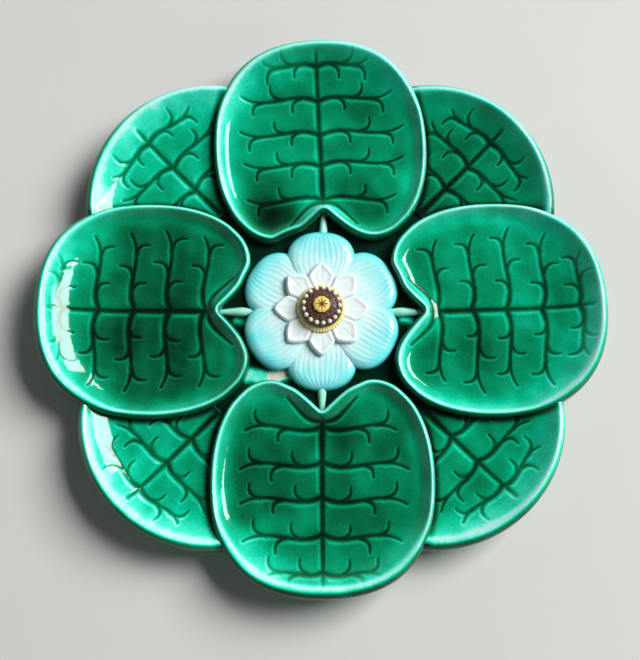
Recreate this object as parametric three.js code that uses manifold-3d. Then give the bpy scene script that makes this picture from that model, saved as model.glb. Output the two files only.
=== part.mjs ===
// Lily pad plate: four front lily pads overlap four rear ones around an open water lily.
// Millimetres, +Z up. The plate lies flat, with its origin at the centre of the foot's underside.
import * as THREE from 'three';
import { mergeVertices } from 'three/addons/utils/BufferGeometryUtils.js';
import Module from 'manifold-3d';

// Clearances between one moulded piece and the next
const SEAT_GAP = 0.3;
const FIT_GAP = 0.3;

// Foot ring and dished body
const FOOT_RADIUS = 62;
const FOOT_WIDTH = 6;
const FOOT_HEIGHT = 4;
const FOOT_DRAFT = 1.2;
const BODY_THICKNESS = 4.5;
const BODY_EDGE_THICKNESS = 1.6;
const BODY_EDGE_INSET = 3;
const DISH_START = 78;
const DISH_BEND_RADIUS = 80;
const BOSS_RADIUS = 8.7;
const BOSS_DRAFT = 0.4;

// Front pads: u runs outward from the plate's centre, v sideways
const FRONT_REACH = 112.5;
const FRONT_HALF_WIDTH = 43.3;
const FRONT_WIDEST_AT = 68;
const FRONT_NOTCH_AT = 41.5;
const FRONT_LOBE_AT = 28.6;
const FRONT_LOBE_SPREAD = 20.2;
const FRONT_THICKNESS = 2.2;
const FRONT_LIP_HEIGHT = 3.6;
const NOTCH_FLARE = 8.1;
const LOBE_INNER_ROUND = 6.8;
const LOBE_OUTER_ROUND = 10.4;
const SIDE_ROUND = 27;
const SHOULDER_ROUND = 25;
const END_ROUND = 33;
const CHANNEL_WIDTH = 3;
const FLOWER_GAP = 1.2;

// Rear pads: the same dished leaf, seen only between the front pads and a little short of their reach
const REAR_SHORTFALL = 0.5;
const REAR_ARC_RADIUS = 52;
const REAR_ARC_HALF_ANGLE = 62;
const REAR_NOSE_AT = 57;
const REAR_NOSE_ROUND = 14;
const REAR_THICKNESS = 1.2;
const REAR_LIP_HEIGHT = 3.3;

// Lip of every pad: narrow and upright between neighbours, broad and rolled along the plate's rim
const LIP_WIDTH = 6.5;
const LIP_CREST_INSET = 1.2;
const LIP_EDGE_DROP = 0.8;
const RIM_LIP_WIDTH = 14;
const RIM_CREST_INSET = 2.4;
const RIM_EDGE_DROP = 2.4;
const RIM_STARTS_IN = 22;
const RIM_FULL_IN = 6;
const WALL_DRAFT = 0.8;

// Incised leaf veins: a midrib, rows of side veins, and one vein in each lobe of a front pad
const VEIN_DEPTH = 0.6;
const VEIN_TIP_DEPTH = 0.25;
const MIDRIB_HALF_WIDTH = 1.2;
const SIDE_VEIN_HALF_WIDTH = 1;
const VEIN_TIP_HALF_WIDTH = 0.4;
const VEIN_BRIM = 0.3;
const VEIN_CLEARANCE = 3;
const SIDE_VEIN_SHARES = [0, 0.08, 0.16, 0.3, 0.7, 1];
const SIDE_VEIN_BENDS = [0, 0.5, 1, 1.4, -0.3, 1.8];
const MIDRIB_START_MARGIN = 3;
const MIDRIB_END_MARGIN = 9;
const FRONT_MIDRIB_END_MARGIN = 5;
const FRONT_ROW_COUNT = 5;
const FRONT_ROW_NOTCH_MARGIN = 5;
const FRONT_ROW_END_MARGIN = 10;
const FRONT_VEIN_SIDE_MARGIN = 10.5;
const LOBE_VEIN_MARGIN = 6.6;
const LOBE_VEIN_BEND = 5.2;
const REAR_ROW_COUNT = 3;
const REAR_ROW_NOSE_MARGIN = 15;
const REAR_ROW_END_MARGIN = 13;
const REAR_VEIN_LENGTH = 24;
const REAR_VEIN_LEAN = 0.05;

// Water lily
const PETAL_REACH = 32.4;
const PETAL_HALF_WIDTH = 13.6;
const PETAL_WIDEST_AT = 21.5;
const PETAL_ROOT_HALF_WIDTH = 8.4;
const PETAL_END_ROUND = 6.3;
const PETAL_TIP_ROUND = 8.8;
const PETAL_SIDE_ROUND = 5;
const PETAL_EDGE_HEIGHT = 3;
const PETAL_CROWN_HEIGHT = 4.6;
const PETAL_SHOULDER = 2.4;
const PETAL_DRAFT = 0.5;
const INNER_PETAL_COUNT = 8;
const INNER_PETAL_REACH = 19.2;
const INNER_PETAL_WIDEST_AT = 13.2;
const INNER_PETAL_SIDE_ROUND = 2.8;
const INNER_PETAL_THICKNESS = 1.5;
const INNER_PETAL_DRAFT = 0.3;
const FRINGE_RADIUS = 9.6;
const FRINGE_TOOTH = 0.4;
const FRINGE_TOOTH_COUNT = 24;
const FRINGE_THICKNESS = 0.8;
const BEAD_COUNT = 17;
const BEAD_CIRCLE_RADIUS = 7.1;
const BEAD_RADIUS = 0.85;
const BEAD_BAND_THICKNESS = 0.5;
const HEAD_HEIGHT = 4.2;
const HEAD_COLLAR_HEIGHT = 1.9;
const HEAD_COLLAR_MARGIN = 0.35;
const STIGMA_RADIUS = 3.3;
const STIGMA_THICKNESS = 0.7;
const STIGMA_MARGIN = 0.3;

// Stalks, tapering from under the flower into each front pad's notch
const STALK_HALF_WIDTH = 2.6;
const STALK_HEIGHT = 3.2;
const STALK_TIP_SHARE = 0.2;
const STALK_SUNK_LENGTH = 3;

// Facets
const BODY_SIDES = 72;
const FOOT_SIDES = 64;
const HEAD_SIDES = 28;
const BEAD_DETAIL = 1;
const FRONT_HALF_STEPS = 20;
const REAR_HALF_STEPS = 16;
const PETAL_HALF_STEPS = 12;
const INNER_PETAL_SIDE_STEPS = 3;
const HEAD_SIDE_STEPS = 5;
const STALK_ARC_STEPS = 4;
const BODY_RINGS = 6;
const LIP_RING_SHARES = [0, 0.25, 0.55, 1];
const FLOOR_RING_SHARES = [0.45, 0.8];
const MIDRIB_STEPS = 14;
const LOBE_VEIN_STEPS = 4;

// Each pad's direction from the centre, and how far it leans about its own middle, in degrees
const FRONT_PADS = [
  { place: 'right', direction: 0, lean: 1.3 },
  { place: 'top', direction: 90, lean: 2.4 },
  { place: 'left', direction: 180, lean: -0.5 },
  { place: 'bottom', direction: 270, lean: 0 },
];
const REAR_PADS = [
  { place: 'upper_right', direction: 45 },
  { place: 'upper_left', direction: 135 },
  { place: 'lower_left', direction: 225 },
  { place: 'lower_right', direction: 315 },
];
const OVER_PETALS = [
  { place: 'top', direction: 90 },
  { place: 'lower_left', direction: 210 },
  { place: 'lower_right', direction: 330 },
];
const UNDER_PETALS = [
  { place: 'upper_right', direction: 30 },
  { place: 'upper_left', direction: 150 },
  { place: 'bottom', direction: 270 },
];

// Levels, stacked from the foot upward
const groundLevel = FOOT_HEIGHT + BODY_THICKNESS;
const frontFloor = groundLevel + SEAT_GAP + FRONT_THICKNESS;
const rearFloor = groundLevel + SEAT_GAP + REAR_THICKNESS;
const petalBase = groundLevel + SEAT_GAP;
const innerPetalBase = petalBase + PETAL_CROWN_HEIGHT + SEAT_GAP;
const bossLevel = innerPetalBase + INNER_PETAL_THICKNESS;
const fringeBase = bossLevel + SEAT_GAP;
const headBase = fringeBase + FRINGE_THICKNESS + SEAT_GAP;
const beadBase = headBase + HEAD_COLLAR_HEIGHT + SEAT_GAP;
const stigmaBase = headBase + HEAD_HEIGHT + SEAT_GAP;
const petalRootAt = BOSS_RADIUS + BOSS_DRAFT + FIT_GAP;
const headRadius = BEAD_CIRCLE_RADIUS - BEAD_RADIUS - FIT_GAP;
const collarRadius = BEAD_CIRCLE_RADIUS + BEAD_RADIUS;
const rearReach = FRONT_REACH - REAR_SHORTFALL;

const wasm = await Module();
wasm.setup();

const radians = THREE.MathUtils.degToRad;
const plateCentre = new THREE.Vector2();
const plate = new THREE.Group();

// Glazes
const glazes = {
  body: { color: 0x0a4a30, roughness: 0.2 },
  frontPad: { color: 0x118352, roughness: 0.12 },
  rearPad: { color: 0x0f754a, roughness: 0.12 },
  stalk: { color: 0x8fd8b4, roughness: 0.15 },
  petal: { color: 0x86ded6, roughness: 0.15 },
  innerPetal: { color: 0xdcf5f0, roughness: 0.15 },
  fringe: { color: 0xe0b93c, roughness: 0.2 },
  bead: { color: 0xf4ead0, roughness: 0.2 },
  head: { color: 0x4a2a1c, roughness: 0.3 },
  stigma: { color: 0xe2a52c, roughness: 0.2 },
};

function addMesh(name, geometry, glaze) {
  const material = new THREE.MeshStandardMaterial({ ...glaze, metalness: 0 });
  const mesh = new THREE.Mesh(geometry, material);
  mesh.name = name;
  plate.add(mesh);
  return mesh;
}

// Rise of the dish at a distance from the plate's centre
function dishRise(radius) {
  const run = Math.max(0, radius - DISH_START);
  return (run * run) / (2 * DISH_BEND_RADIUS);
}

function groundAt(point) {
  return groundLevel + dishRise(point.length());
}

function seatAt(point) {
  return groundAt(point) + SEAT_GAP;
}

function undersideAt(point) {
  const share = THREE.MathUtils.smoothstep(point.length(), FOOT_RADIUS, FRONT_REACH);
  return groundAt(point) - THREE.MathUtils.lerp(BODY_THICKNESS, BODY_EDGE_THICKNESS, share);
}

// Form of the lip along an edge at a distance from the plate's centre
function lipAt(radius) {
  const starts = FRONT_REACH - RIM_STARTS_IN;
  const share = THREE.MathUtils.smoothstep(radius, starts, FRONT_REACH - RIM_FULL_IN);
  return {
    width: THREE.MathUtils.lerp(LIP_WIDTH, RIM_LIP_WIDTH, share),
    crestInset: THREE.MathUtils.lerp(LIP_CREST_INSET, RIM_CREST_INSET, share),
    edgeDrop: THREE.MathUtils.lerp(LIP_EDGE_DROP, RIM_EDGE_DROP, share),
  };
}

// Height of a pad's lip above its floor, at a distance in from the edge
function lipHeight(height, inset, { width, crestInset, edgeDrop }) {
  if (inset > crestInset) {
    const share = Math.max(0, width - inset) / (width - crestInset);
    return height * share * share;
  }
  const share = (crestInset - inset) / crestInset;
  return height - edgeDrop * share * share;
}

// A piece of relief, lofted through rings that shrink from an outline to a heart point inside it.
// The rings run from the underside's middle, round the edge, to the middle of the top.
function reliefGeometry(outline, heart, rings) {
  const positions = [];
  const indices = [];
  const sides = outline.length;
  const addCentre = (ring) => {
    positions.push(heart.x, heart.y, ring.height(heart, Infinity, heart));
    return positions.length / 3 - 1;
  };
  const firstCentre = addCentre(rings[0]);
  const starts = rings.map((ring) => {
    const start = positions.length / 3;
    for (const edge of outline) {
      const ray = edge.clone().sub(heart);
      const reach = ray.length();
      const distance = ring.distance(reach, edge);
      const point = ray.setLength(distance).add(heart);
      positions.push(point.x, point.y, ring.height(point, reach - distance, edge));
    }
    return start;
  });
  const lastCentre = addCentre(rings[rings.length - 1]);
  for (let side = 0; side < sides; side += 1) {
    const next = (side + 1) % sides;
    indices.push(firstCentre, starts[0] + next, starts[0] + side);
    for (let ring = 0; ring + 1 < starts.length; ring += 1) {
      const here = starts[ring];
      const there = starts[ring + 1];
      indices.push(here + side, here + next, there + next);
      indices.push(here + side, there + next, there + side);
    }
    const last = starts[starts.length - 1];
    indices.push(last + side, last + next, lastCentre);
  }
  const geometry = new THREE.BufferGeometry();
  geometry.setAttribute('position', new THREE.Float32BufferAttribute(positions, 3));
  geometry.setIndex(indices);
  geometry.computeVertexNormals();
  return geometry;
}

// Ring at a set distance in from the outline
function insetRing(inset, height) {
  return { distance: (reach) => reach - inset, height };
}

// Rings of a pad: over its underside from the heart to the edge, then over the lip and floor to the heart
function padRings(top) {
  const floorRing = (share, height) => ({
    distance: (reach, edge) => (reach - lipAt(edge.length()).width) * share,
    height,
  });
  const lipRing = (share) => ({
    distance: (reach, edge) => {
      const { crestInset, width } = lipAt(edge.length());
      return reach - THREE.MathUtils.lerp(crestInset, width, share);
    },
    height: top,
  });
  return [
    ...FLOOR_RING_SHARES.map((share) => floorRing(share, seatAt)),
    insetRing(RIM_LIP_WIDTH / 2, seatAt),
    insetRing(0, seatAt),
    insetRing(WALL_DRAFT, top),
    ...LIP_RING_SHARES.map(lipRing),
    ...FLOOR_RING_SHARES.map((share) => floorRing(share, top)).reverse(),
  ];
}

// Whole outline, counter-clockwise, from one half's points, listed from the inner end to the outer end
function mirroredOutline(points) {
  const left = points.slice().reverse();
  const right = points.slice(1, -1).map((point) => new THREE.Vector2(point.x, -point.y));
  return [...left, ...right];
}

function turned(outline, degrees) {
  return outline.map((point) => point.clone().rotateAround(plateCentre, radians(degrees)));
}

function grown(outline, heart, gap) {
  return outline.map((point) => {
    const ray = point.clone().sub(heart);
    return ray.setLength(ray.length() + gap).add(heart);
  });
}

// Farthest crossing of a set of outlines by a ray from the plate's centre
function reachAlong(outlines, degrees) {
  let farthest = 0;
  for (const outline of outlines) {
    const local = turned(outline, -degrees);
    local.forEach((start, index) => {
      const end = local[(index + 1) % local.length];
      if (start.y * end.y <= 0 && start.y !== end.y) {
        const share = start.y / (start.y - end.y);
        farthest = Math.max(farthest, start.x + share * (end.x - start.x));
      }
    });
  }
  return farthest;
}

function toSolid(geometry) {
  const bare = geometry.clone();
  bare.deleteAttribute('normal');
  bare.deleteAttribute('uv');
  const merged = mergeVertices(bare);
  const vertProperties = Float32Array.from(merged.attributes.position.array);
  const triVerts = Uint32Array.from(merged.index.array);
  return new wasm.Manifold(new wasm.Mesh({ numProp: 3, vertProperties, triVerts }));
}

function toGeometry(solid) {
  const mesh = solid.getMesh();
  const geometry = new THREE.BufferGeometry();
  geometry.setAttribute('position', new THREE.BufferAttribute(mesh.vertProperties, 3));
  geometry.setIndex(new THREE.BufferAttribute(mesh.triVerts, 1));
  geometry.computeVertexNormals();
  return geometry;
}

// Upright prism over an outline, tall and deep enough to cut through every pad and petal
function cutterOver(outline) {
  const above = rearFloor + dishRise(rearReach) + REAR_LIP_HEIGHT + FOOT_HEIGHT;
  const below = FOOT_HEIGHT;
  const shape = new THREE.Shape(outline);
  const prism = new THREE.ExtrudeGeometry(shape, { depth: above + below, bevelEnabled: false });
  return toSolid(prism.translate(0, 0, -below));
}

// Where a ray from a pad's heart through a point meets its outline
function edgeBeyond(outline, heart, point) {
  const ray = point.clone().sub(heart);
  const shifted = outline.map((edge) => edge.clone().sub(heart));
  const reach = reachAlong([shifted], THREE.MathUtils.radToDeg(ray.angle()));
  return ray.setLength(reach).add(heart);
}

// Bar along a vein's stations, wedge-shaped below the surface and upright above it
function veinCutter(stations, surface) {
  const last = stations.length - 1;
  const sections = stations.map(({ point, halfWidth, depth }, index) => {
    const along = stations[Math.min(index + 1, last)].point.clone();
    along.sub(stations[Math.max(index - 1, 0)].point);
    const side = new THREE.Vector2(-along.y, along.x);
    side.setLength((halfWidth * (depth + VEIN_BRIM)) / depth);
    const left = point.clone().add(side);
    const right = point.clone().sub(side);
    const level = surface(point);
    return [
      [left.x, left.y, level + VEIN_CLEARANCE],
      [right.x, right.y, level + VEIN_CLEARANCE],
      [right.x, right.y, level + VEIN_BRIM],
      [point.x, point.y, level - depth],
      [left.x, left.y, level + VEIN_BRIM],
    ];
  });
  const corners = sections[0].length;
  const indices = [];
  for (let index = 0; index < last; index += 1) {
    for (let corner = 0; corner < corners; corner += 1) {
      const here = corners * index + corner;
      const next = corners * index + ((corner + 1) % corners);
      indices.push(here, next, next + corners);
      indices.push(here, next + corners, here + corners);
    }
  }
  for (let corner = 1; corner + 1 < corners; corner += 1) {
    indices.push(0, corner + 1, corner);
    indices.push(corners * last, corners * last + corner, corners * last + corner + 1);
  }
  const geometry = new THREE.BufferGeometry();
  geometry.setAttribute('position', new THREE.Float32BufferAttribute(sections.flat(2), 3));
  geometry.setIndex(indices);
  return toSolid(geometry);
}

// Stations of a vein that narrows and rises along its points
function veinStations(points, halfWidth) {
  return points.map((point, index) => {
    const share = index / (points.length - 1);
    return {
      point,
      halfWidth: THREE.MathUtils.lerp(halfWidth, VEIN_TIP_HALF_WIDTH, share),
      depth: THREE.MathUtils.lerp(VEIN_DEPTH, VEIN_TIP_DEPTH, share),
    };
  });
}

// Evenly spaced places along a midrib
function rowPlaces(first, last, count) {
  const pitch = (last - first) / (count - 1);
  return Array.from({ length: count }, (unused, index) => first + index * pitch);
}

function midrib(from, to) {
  const points = rowPlaces(from, to, MIDRIB_STEPS + 1).map((place) => new THREE.Vector2(place, 0));
  return veinStations(points, MIDRIB_HALF_WIDTH);
}

// Side vein that leaves the midrib and waves a little on its way to the pad's side
function sideVein(row, length, lean) {
  const points = SIDE_VEIN_SHARES.map((share, index) => {
    const across = share * length;
    return new THREE.Vector2(row + lean * across + SIDE_VEIN_BENDS[index], across);
  });
  return veinStations(points, SIDE_VEIN_HALF_WIDTH);
}

// The same veins on both sides of the midrib, which comes first
function bothSides(middle, veins) {
  const mirrored = veins.map((stations) => stations.map((station) => ({
    ...station,
    point: new THREE.Vector2(station.point.x, -station.point.y),
  })));
  return [middle, ...veins, ...mirrored];
}

// Veins cut into a pad, each point first put where the pad lies
function carve(solid, veins, place, surface) {
  return veins.reduce((carved, stations) => {
    const placed = stations.map((station) => ({ ...station, point: place(station.point.clone()) }));
    return carved.subtract(veinCutter(placed, surface));
  }, solid);
}

function lathe(profile, sides) {
  const points = profile.map(([radius, height]) => new THREE.Vector2(radius, height));
  return new THREE.LatheGeometry(points, sides).rotateX(Math.PI / 2);
}

// Outer petals
const petalHeart = new THREE.Vector2((petalRootAt + PETAL_REACH) / 2, 0);

function petalOutline() {
  const half = new THREE.Path();
  half.moveTo(petalRootAt, 0);
  half.lineTo(petalRootAt, PETAL_ROOT_HALF_WIDTH);
  half.bezierCurveTo(
    petalRootAt + PETAL_SIDE_ROUND, PETAL_ROOT_HALF_WIDTH + PETAL_SIDE_ROUND / 2,
    PETAL_WIDEST_AT - PETAL_SIDE_ROUND, PETAL_HALF_WIDTH,
    PETAL_WIDEST_AT, PETAL_HALF_WIDTH,
  );
  half.bezierCurveTo(
    PETAL_WIDEST_AT + PETAL_END_ROUND, PETAL_HALF_WIDTH,
    PETAL_REACH, PETAL_TIP_ROUND,
    PETAL_REACH, 0,
  );
  return mirroredOutline(half.getSpacedPoints(PETAL_HALF_STEPS));
}

const flatPetal = petalOutline();
const overPetal = reliefGeometry(flatPetal, petalHeart, [
  insetRing(0, () => 0),
  insetRing(PETAL_DRAFT, () => PETAL_EDGE_HEIGHT),
  insetRing(PETAL_SHOULDER, () => PETAL_CROWN_HEIGHT),
]);

function petalCutter(degrees) {
  return cutterOver(turned(grown(flatPetal, petalHeart, FIT_GAP), degrees));
}

// An under petal is an over petal cut by the over petals beside it
function underPetal() {
  const neighbours = OVER_PETALS.map(({ direction }) => direction - UNDER_PETALS[0].direction);
  return neighbours.reduce((solid, degrees) => solid.subtract(petalCutter(degrees)), toSolid(overPetal));
}

const underPetalGeometry = toGeometry(underPetal());

for (const { place, direction } of OVER_PETALS) {
  const petal = addMesh(`outer_petal_${place}`, overPetal, glazes.petal);
  petal.rotation.z = radians(direction);
  petal.position.z = petalBase;
}

for (const { place, direction } of UNDER_PETALS) {
  const petal = addMesh(`outer_petal_${place}`, underPetalGeometry, glazes.petal);
  petal.rotation.z = radians(direction);
  petal.position.z = petalBase;
}

// Inner petals, each in its own sector round the boss
function innerPetal() {
  const sector = Math.PI / INNER_PETAL_COUNT;
  const halfWidthAt = (radius) => radius * Math.tan(sector) - FIT_GAP;
  const half = new THREE.Path();
  half.moveTo(petalRootAt, 0);
  half.lineTo(petalRootAt, halfWidthAt(petalRootAt));
  half.lineTo(INNER_PETAL_WIDEST_AT, halfWidthAt(INNER_PETAL_WIDEST_AT));
  half.quadraticCurveTo(
    INNER_PETAL_REACH - INNER_PETAL_SIDE_ROUND, INNER_PETAL_SIDE_ROUND,
    INNER_PETAL_REACH, 0,
  );
  const heart = new THREE.Vector2(INNER_PETAL_WIDEST_AT, 0);
  return reliefGeometry(mirroredOutline(half.getPoints(INNER_PETAL_SIDE_STEPS)), heart, [
    insetRing(0, () => 0),
    insetRing(INNER_PETAL_DRAFT, () => INNER_PETAL_THICKNESS),
  ]);
}

const innerPetalGeometry = innerPetal();

for (let index = 0; index < INNER_PETAL_COUNT; index += 1) {
  const petal = addMesh(`inner_petal_${index + 1}`, innerPetalGeometry, glazes.innerPetal);
  petal.rotation.z = (2 * Math.PI * index) / INNER_PETAL_COUNT;
  petal.position.z = innerPetalBase;
}

// Toothed fringe of stamens under the seed head
function stamenFringe() {
  const outline = [];
  for (let index = 0; index < 2 * FRINGE_TOOTH_COUNT; index += 1) {
    const radius = FRINGE_RADIUS - (index % 2) * FRINGE_TOOTH;
    const angle = (Math.PI * index) / FRINGE_TOOTH_COUNT;
    outline.push(new THREE.Vector2(radius * Math.cos(angle), radius * Math.sin(angle)));
  }
  return reliefGeometry(outline, plateCentre, [
    insetRing(0, () => 0),
    insetRing(0, () => FRINGE_THICKNESS),
  ]);
}

addMesh('stamen_fringe', stamenFringe(), glazes.fringe).position.z = fringeBase;

// Ring of beads on a narrow band
function beadRing() {
  const inner = BEAD_CIRCLE_RADIUS - BEAD_RADIUS / 2;
  const outer = BEAD_CIRCLE_RADIUS + BEAD_RADIUS / 2;
  const band = lathe([
    [inner, 0],
    [outer, 0],
    [outer, BEAD_BAND_THICKNESS],
    [inner, BEAD_BAND_THICKNESS],
    [inner, 0],
  ], 2 * BEAD_COUNT);
  let solid = toSolid(band);
  for (let index = 0; index < BEAD_COUNT; index += 1) {
    const angle = (2 * Math.PI * index) / BEAD_COUNT;
    const bead = new THREE.IcosahedronGeometry(BEAD_RADIUS, BEAD_DETAIL);
    bead.translate(BEAD_CIRCLE_RADIUS * Math.cos(angle), BEAD_CIRCLE_RADIUS * Math.sin(angle), BEAD_RADIUS);
    solid = solid.add(toSolid(bead));
  }
  return toGeometry(solid);
}

addMesh('bead_ring', beadRing(), glazes.bead).position.z = beadBase;

// Domed seed head, with a collar that carries the beads, and flat on top where the stigma disc lies
function seedHead() {
  const seat = STIGMA_RADIUS + STIGMA_MARGIN;
  const shoulder = (HEAD_COLLAR_HEIGHT + HEAD_HEIGHT) / 2;
  const profile = new THREE.Path();
  profile.moveTo(0, 0);
  profile.lineTo(collarRadius + HEAD_COLLAR_MARGIN, 0);
  profile.lineTo(collarRadius, HEAD_COLLAR_HEIGHT);
  profile.lineTo(headRadius, HEAD_COLLAR_HEIGHT);
  profile.bezierCurveTo(headRadius, shoulder, headRadius, HEAD_HEIGHT, seat, HEAD_HEIGHT);
  profile.lineTo(0, HEAD_HEIGHT);
  const points = profile.getPoints(HEAD_SIDE_STEPS).map((point) => [point.x, point.y]);
  return lathe(points, HEAD_SIDES);
}

addMesh('seed_head', seedHead(), glazes.head).position.z = headBase;

const stigma = lathe([
  [0, 0],
  [STIGMA_RADIUS, 0],
  [STIGMA_RADIUS - STIGMA_MARGIN, STIGMA_THICKNESS],
  [0, STIGMA_THICKNESS],
], HEAD_SIDES);
addMesh('stigma_disc', stigma, glazes.stigma).position.z = stigmaBase;

// Front pads
const frontHeart = new THREE.Vector2(FRONT_WIDEST_AT, 0);

function frontHalf() {
  const half = new THREE.Path();
  half.moveTo(FRONT_NOTCH_AT, 0);
  half.bezierCurveTo(
    FRONT_NOTCH_AT - NOTCH_FLARE, NOTCH_FLARE,
    FRONT_LOBE_AT, FRONT_LOBE_SPREAD - LOBE_INNER_ROUND,
    FRONT_LOBE_AT, FRONT_LOBE_SPREAD,
  );
  half.bezierCurveTo(
    FRONT_LOBE_AT, FRONT_LOBE_SPREAD + LOBE_OUTER_ROUND,
    FRONT_WIDEST_AT - SIDE_ROUND, FRONT_HALF_WIDTH,
    FRONT_WIDEST_AT, FRONT_HALF_WIDTH,
  );
  half.bezierCurveTo(
    FRONT_WIDEST_AT + SHOULDER_ROUND, FRONT_HALF_WIDTH,
    FRONT_REACH, END_ROUND,
    FRONT_REACH, 0,
  );
  return half;
}

// A front pad keeps clear of the flower, and half a channel inside its own quarter of the plate
function trimmed(point) {
  const clear = PETAL_REACH + FLOWER_GAP;
  const kept = point.clone().setLength(Math.max(point.length(), clear));
  const limit = kept.x - CHANNEL_WIDTH * Math.SQRT1_2;
  kept.y = Math.sign(kept.y) * Math.min(Math.abs(kept.y), limit);
  return kept;
}

function frontOutline({ direction, lean }) {
  const flat = mirroredOutline(frontHalf().getSpacedPoints(FRONT_HALF_STEPS));
  const leaning = flat.map((point) => point.clone().rotateAround(frontHeart, radians(lean)));
  return turned(leaning.map(trimmed), direction);
}

const frontPads = FRONT_PADS.map((pad) => ({
  ...pad,
  outline: frontOutline(pad),
  heart: frontHeart.clone().rotateAround(plateCentre, radians(pad.direction)),
}));

function frontTop(point, inset, edge) {
  const lip = lipHeight(FRONT_LIP_HEIGHT, inset, lipAt(edge.length()));
  return frontFloor + dishRise(point.length()) + lip;
}

// Half width of a front pad at a distance from the plate's centre
function frontHalfWidthAt(distance) {
  const points = frontHalf().getSpacedPoints(FRONT_HALF_STEPS);
  let widest = 0;
  points.slice(1).forEach((end, index) => {
    const start = points[index];
    const share = (distance - start.x) / (end.x - start.x);
    if (share >= 0 && share <= 1) {
      widest = Math.max(widest, THREE.MathUtils.lerp(start.y, end.y, share));
    }
  });
  return widest;
}

// Vein that curves from the midrib's inner end into a lobe
function lobeVein() {
  const start = new THREE.Vector2(FRONT_NOTCH_AT + MIDRIB_START_MARGIN, 0);
  const end = new THREE.Vector2(FRONT_LOBE_AT + LOBE_VEIN_MARGIN, FRONT_LOBE_SPREAD - LOBE_VEIN_MARGIN);
  const bend = start.clone().add(end).divideScalar(2);
  bend.x += LOBE_VEIN_BEND;
  const curve = new THREE.QuadraticBezierCurve(start, bend, end);
  return veinStations(curve.getPoints(LOBE_VEIN_STEPS), SIDE_VEIN_HALF_WIDTH);
}

function frontVeins() {
  const first = FRONT_NOTCH_AT + FRONT_ROW_NOTCH_MARGIN;
  const rows = rowPlaces(first, FRONT_REACH - FRONT_ROW_END_MARGIN, FRONT_ROW_COUNT);
  const sides = rows.map((row) => sideVein(row, frontHalfWidthAt(row) - FRONT_VEIN_SIDE_MARGIN, 0));
  const middle = midrib(FRONT_NOTCH_AT + MIDRIB_START_MARGIN, FRONT_REACH - FRONT_MIDRIB_END_MARGIN);
  return bothSides(middle, [...sides, lobeVein()]);
}

function frontCutter({ outline, heart }) {
  return cutterOver(grown(outline, heart, FIT_GAP));
}

function frontPad({ outline, heart, direction, lean }) {
  const blank = reliefGeometry(outline, heart, padRings(frontTop));
  const place = (point) => {
    const leaning = point.rotateAround(frontHeart, radians(lean));
    return leaning.rotateAround(plateCentre, radians(direction));
  };
  const surface = (point) => {
    const edge = edgeBeyond(outline, heart, point);
    return frontTop(point, edge.distanceTo(point), edge);
  };
  return carve(toSolid(blank), frontVeins(), place, surface);
}

for (const pad of frontPads) {
  addMesh(`front_pad_${pad.place}`, toGeometry(frontPad(pad)), glazes.frontPad);
}

// Rear pads, cut where the front pads lie over them
function rearHalf() {
  const arcCentre = rearReach - REAR_ARC_RADIUS;
  const sweep = radians(REAR_ARC_HALF_ANGLE);
  const sideX = arcCentre + REAR_ARC_RADIUS * Math.cos(sweep);
  const sideY = REAR_ARC_RADIUS * Math.sin(sweep);
  const half = new THREE.Path();
  half.moveTo(REAR_NOSE_AT, 0);
  half.quadraticCurveTo(REAR_NOSE_AT, REAR_NOSE_ROUND, sideX, sideY);
  half.absarc(arcCentre, 0, REAR_ARC_RADIUS, sweep, 0, true);
  return half;
}

const flatRear = mirroredOutline(rearHalf().getSpacedPoints(REAR_HALF_STEPS));
const rearPads = REAR_PADS.map((pad) => ({ ...pad, outline: turned(flatRear, pad.direction) }));

function rearVeins() {
  const first = REAR_NOSE_AT + REAR_ROW_NOSE_MARGIN;
  const rows = rowPlaces(first, rearReach - REAR_ROW_END_MARGIN, REAR_ROW_COUNT);
  const sides = rows.map((row) => sideVein(row, REAR_VEIN_LENGTH, REAR_VEIN_LEAN));
  return bothSides(midrib(REAR_NOSE_AT, rearReach - MIDRIB_END_MARGIN), sides);
}

function rearPad({ outline, direction }) {
  const alongAxis = (distance) => {
    const point = new THREE.Vector2(distance, 0);
    return point.rotateAround(plateCentre, radians(direction));
  };
  const arcCentre = alongAxis(rearReach - REAR_ARC_RADIUS);
  const rearTop = (point) => {
    const inset = Math.max(0, REAR_ARC_RADIUS - point.distanceTo(arcCentre));
    const lip = lipHeight(REAR_LIP_HEIGHT, inset, lipAt(rearReach));
    return rearFloor + dishRise(point.length()) + lip;
  };
  const heart = alongAxis((REAR_NOSE_AT + rearReach) / 2);
  const blank = reliefGeometry(outline, heart, padRings(rearTop));
  const place = (point) => point.rotateAround(plateCentre, radians(direction));
  const carved = carve(toSolid(blank), rearVeins(), place, rearTop);
  return frontPads.reduce((solid, front) => solid.subtract(frontCutter(front)), carved);
}

for (const pad of rearPads) {
  addMesh(`rear_pad_${pad.place}`, toGeometry(rearPad(pad)), glazes.rearPad);
}

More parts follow.
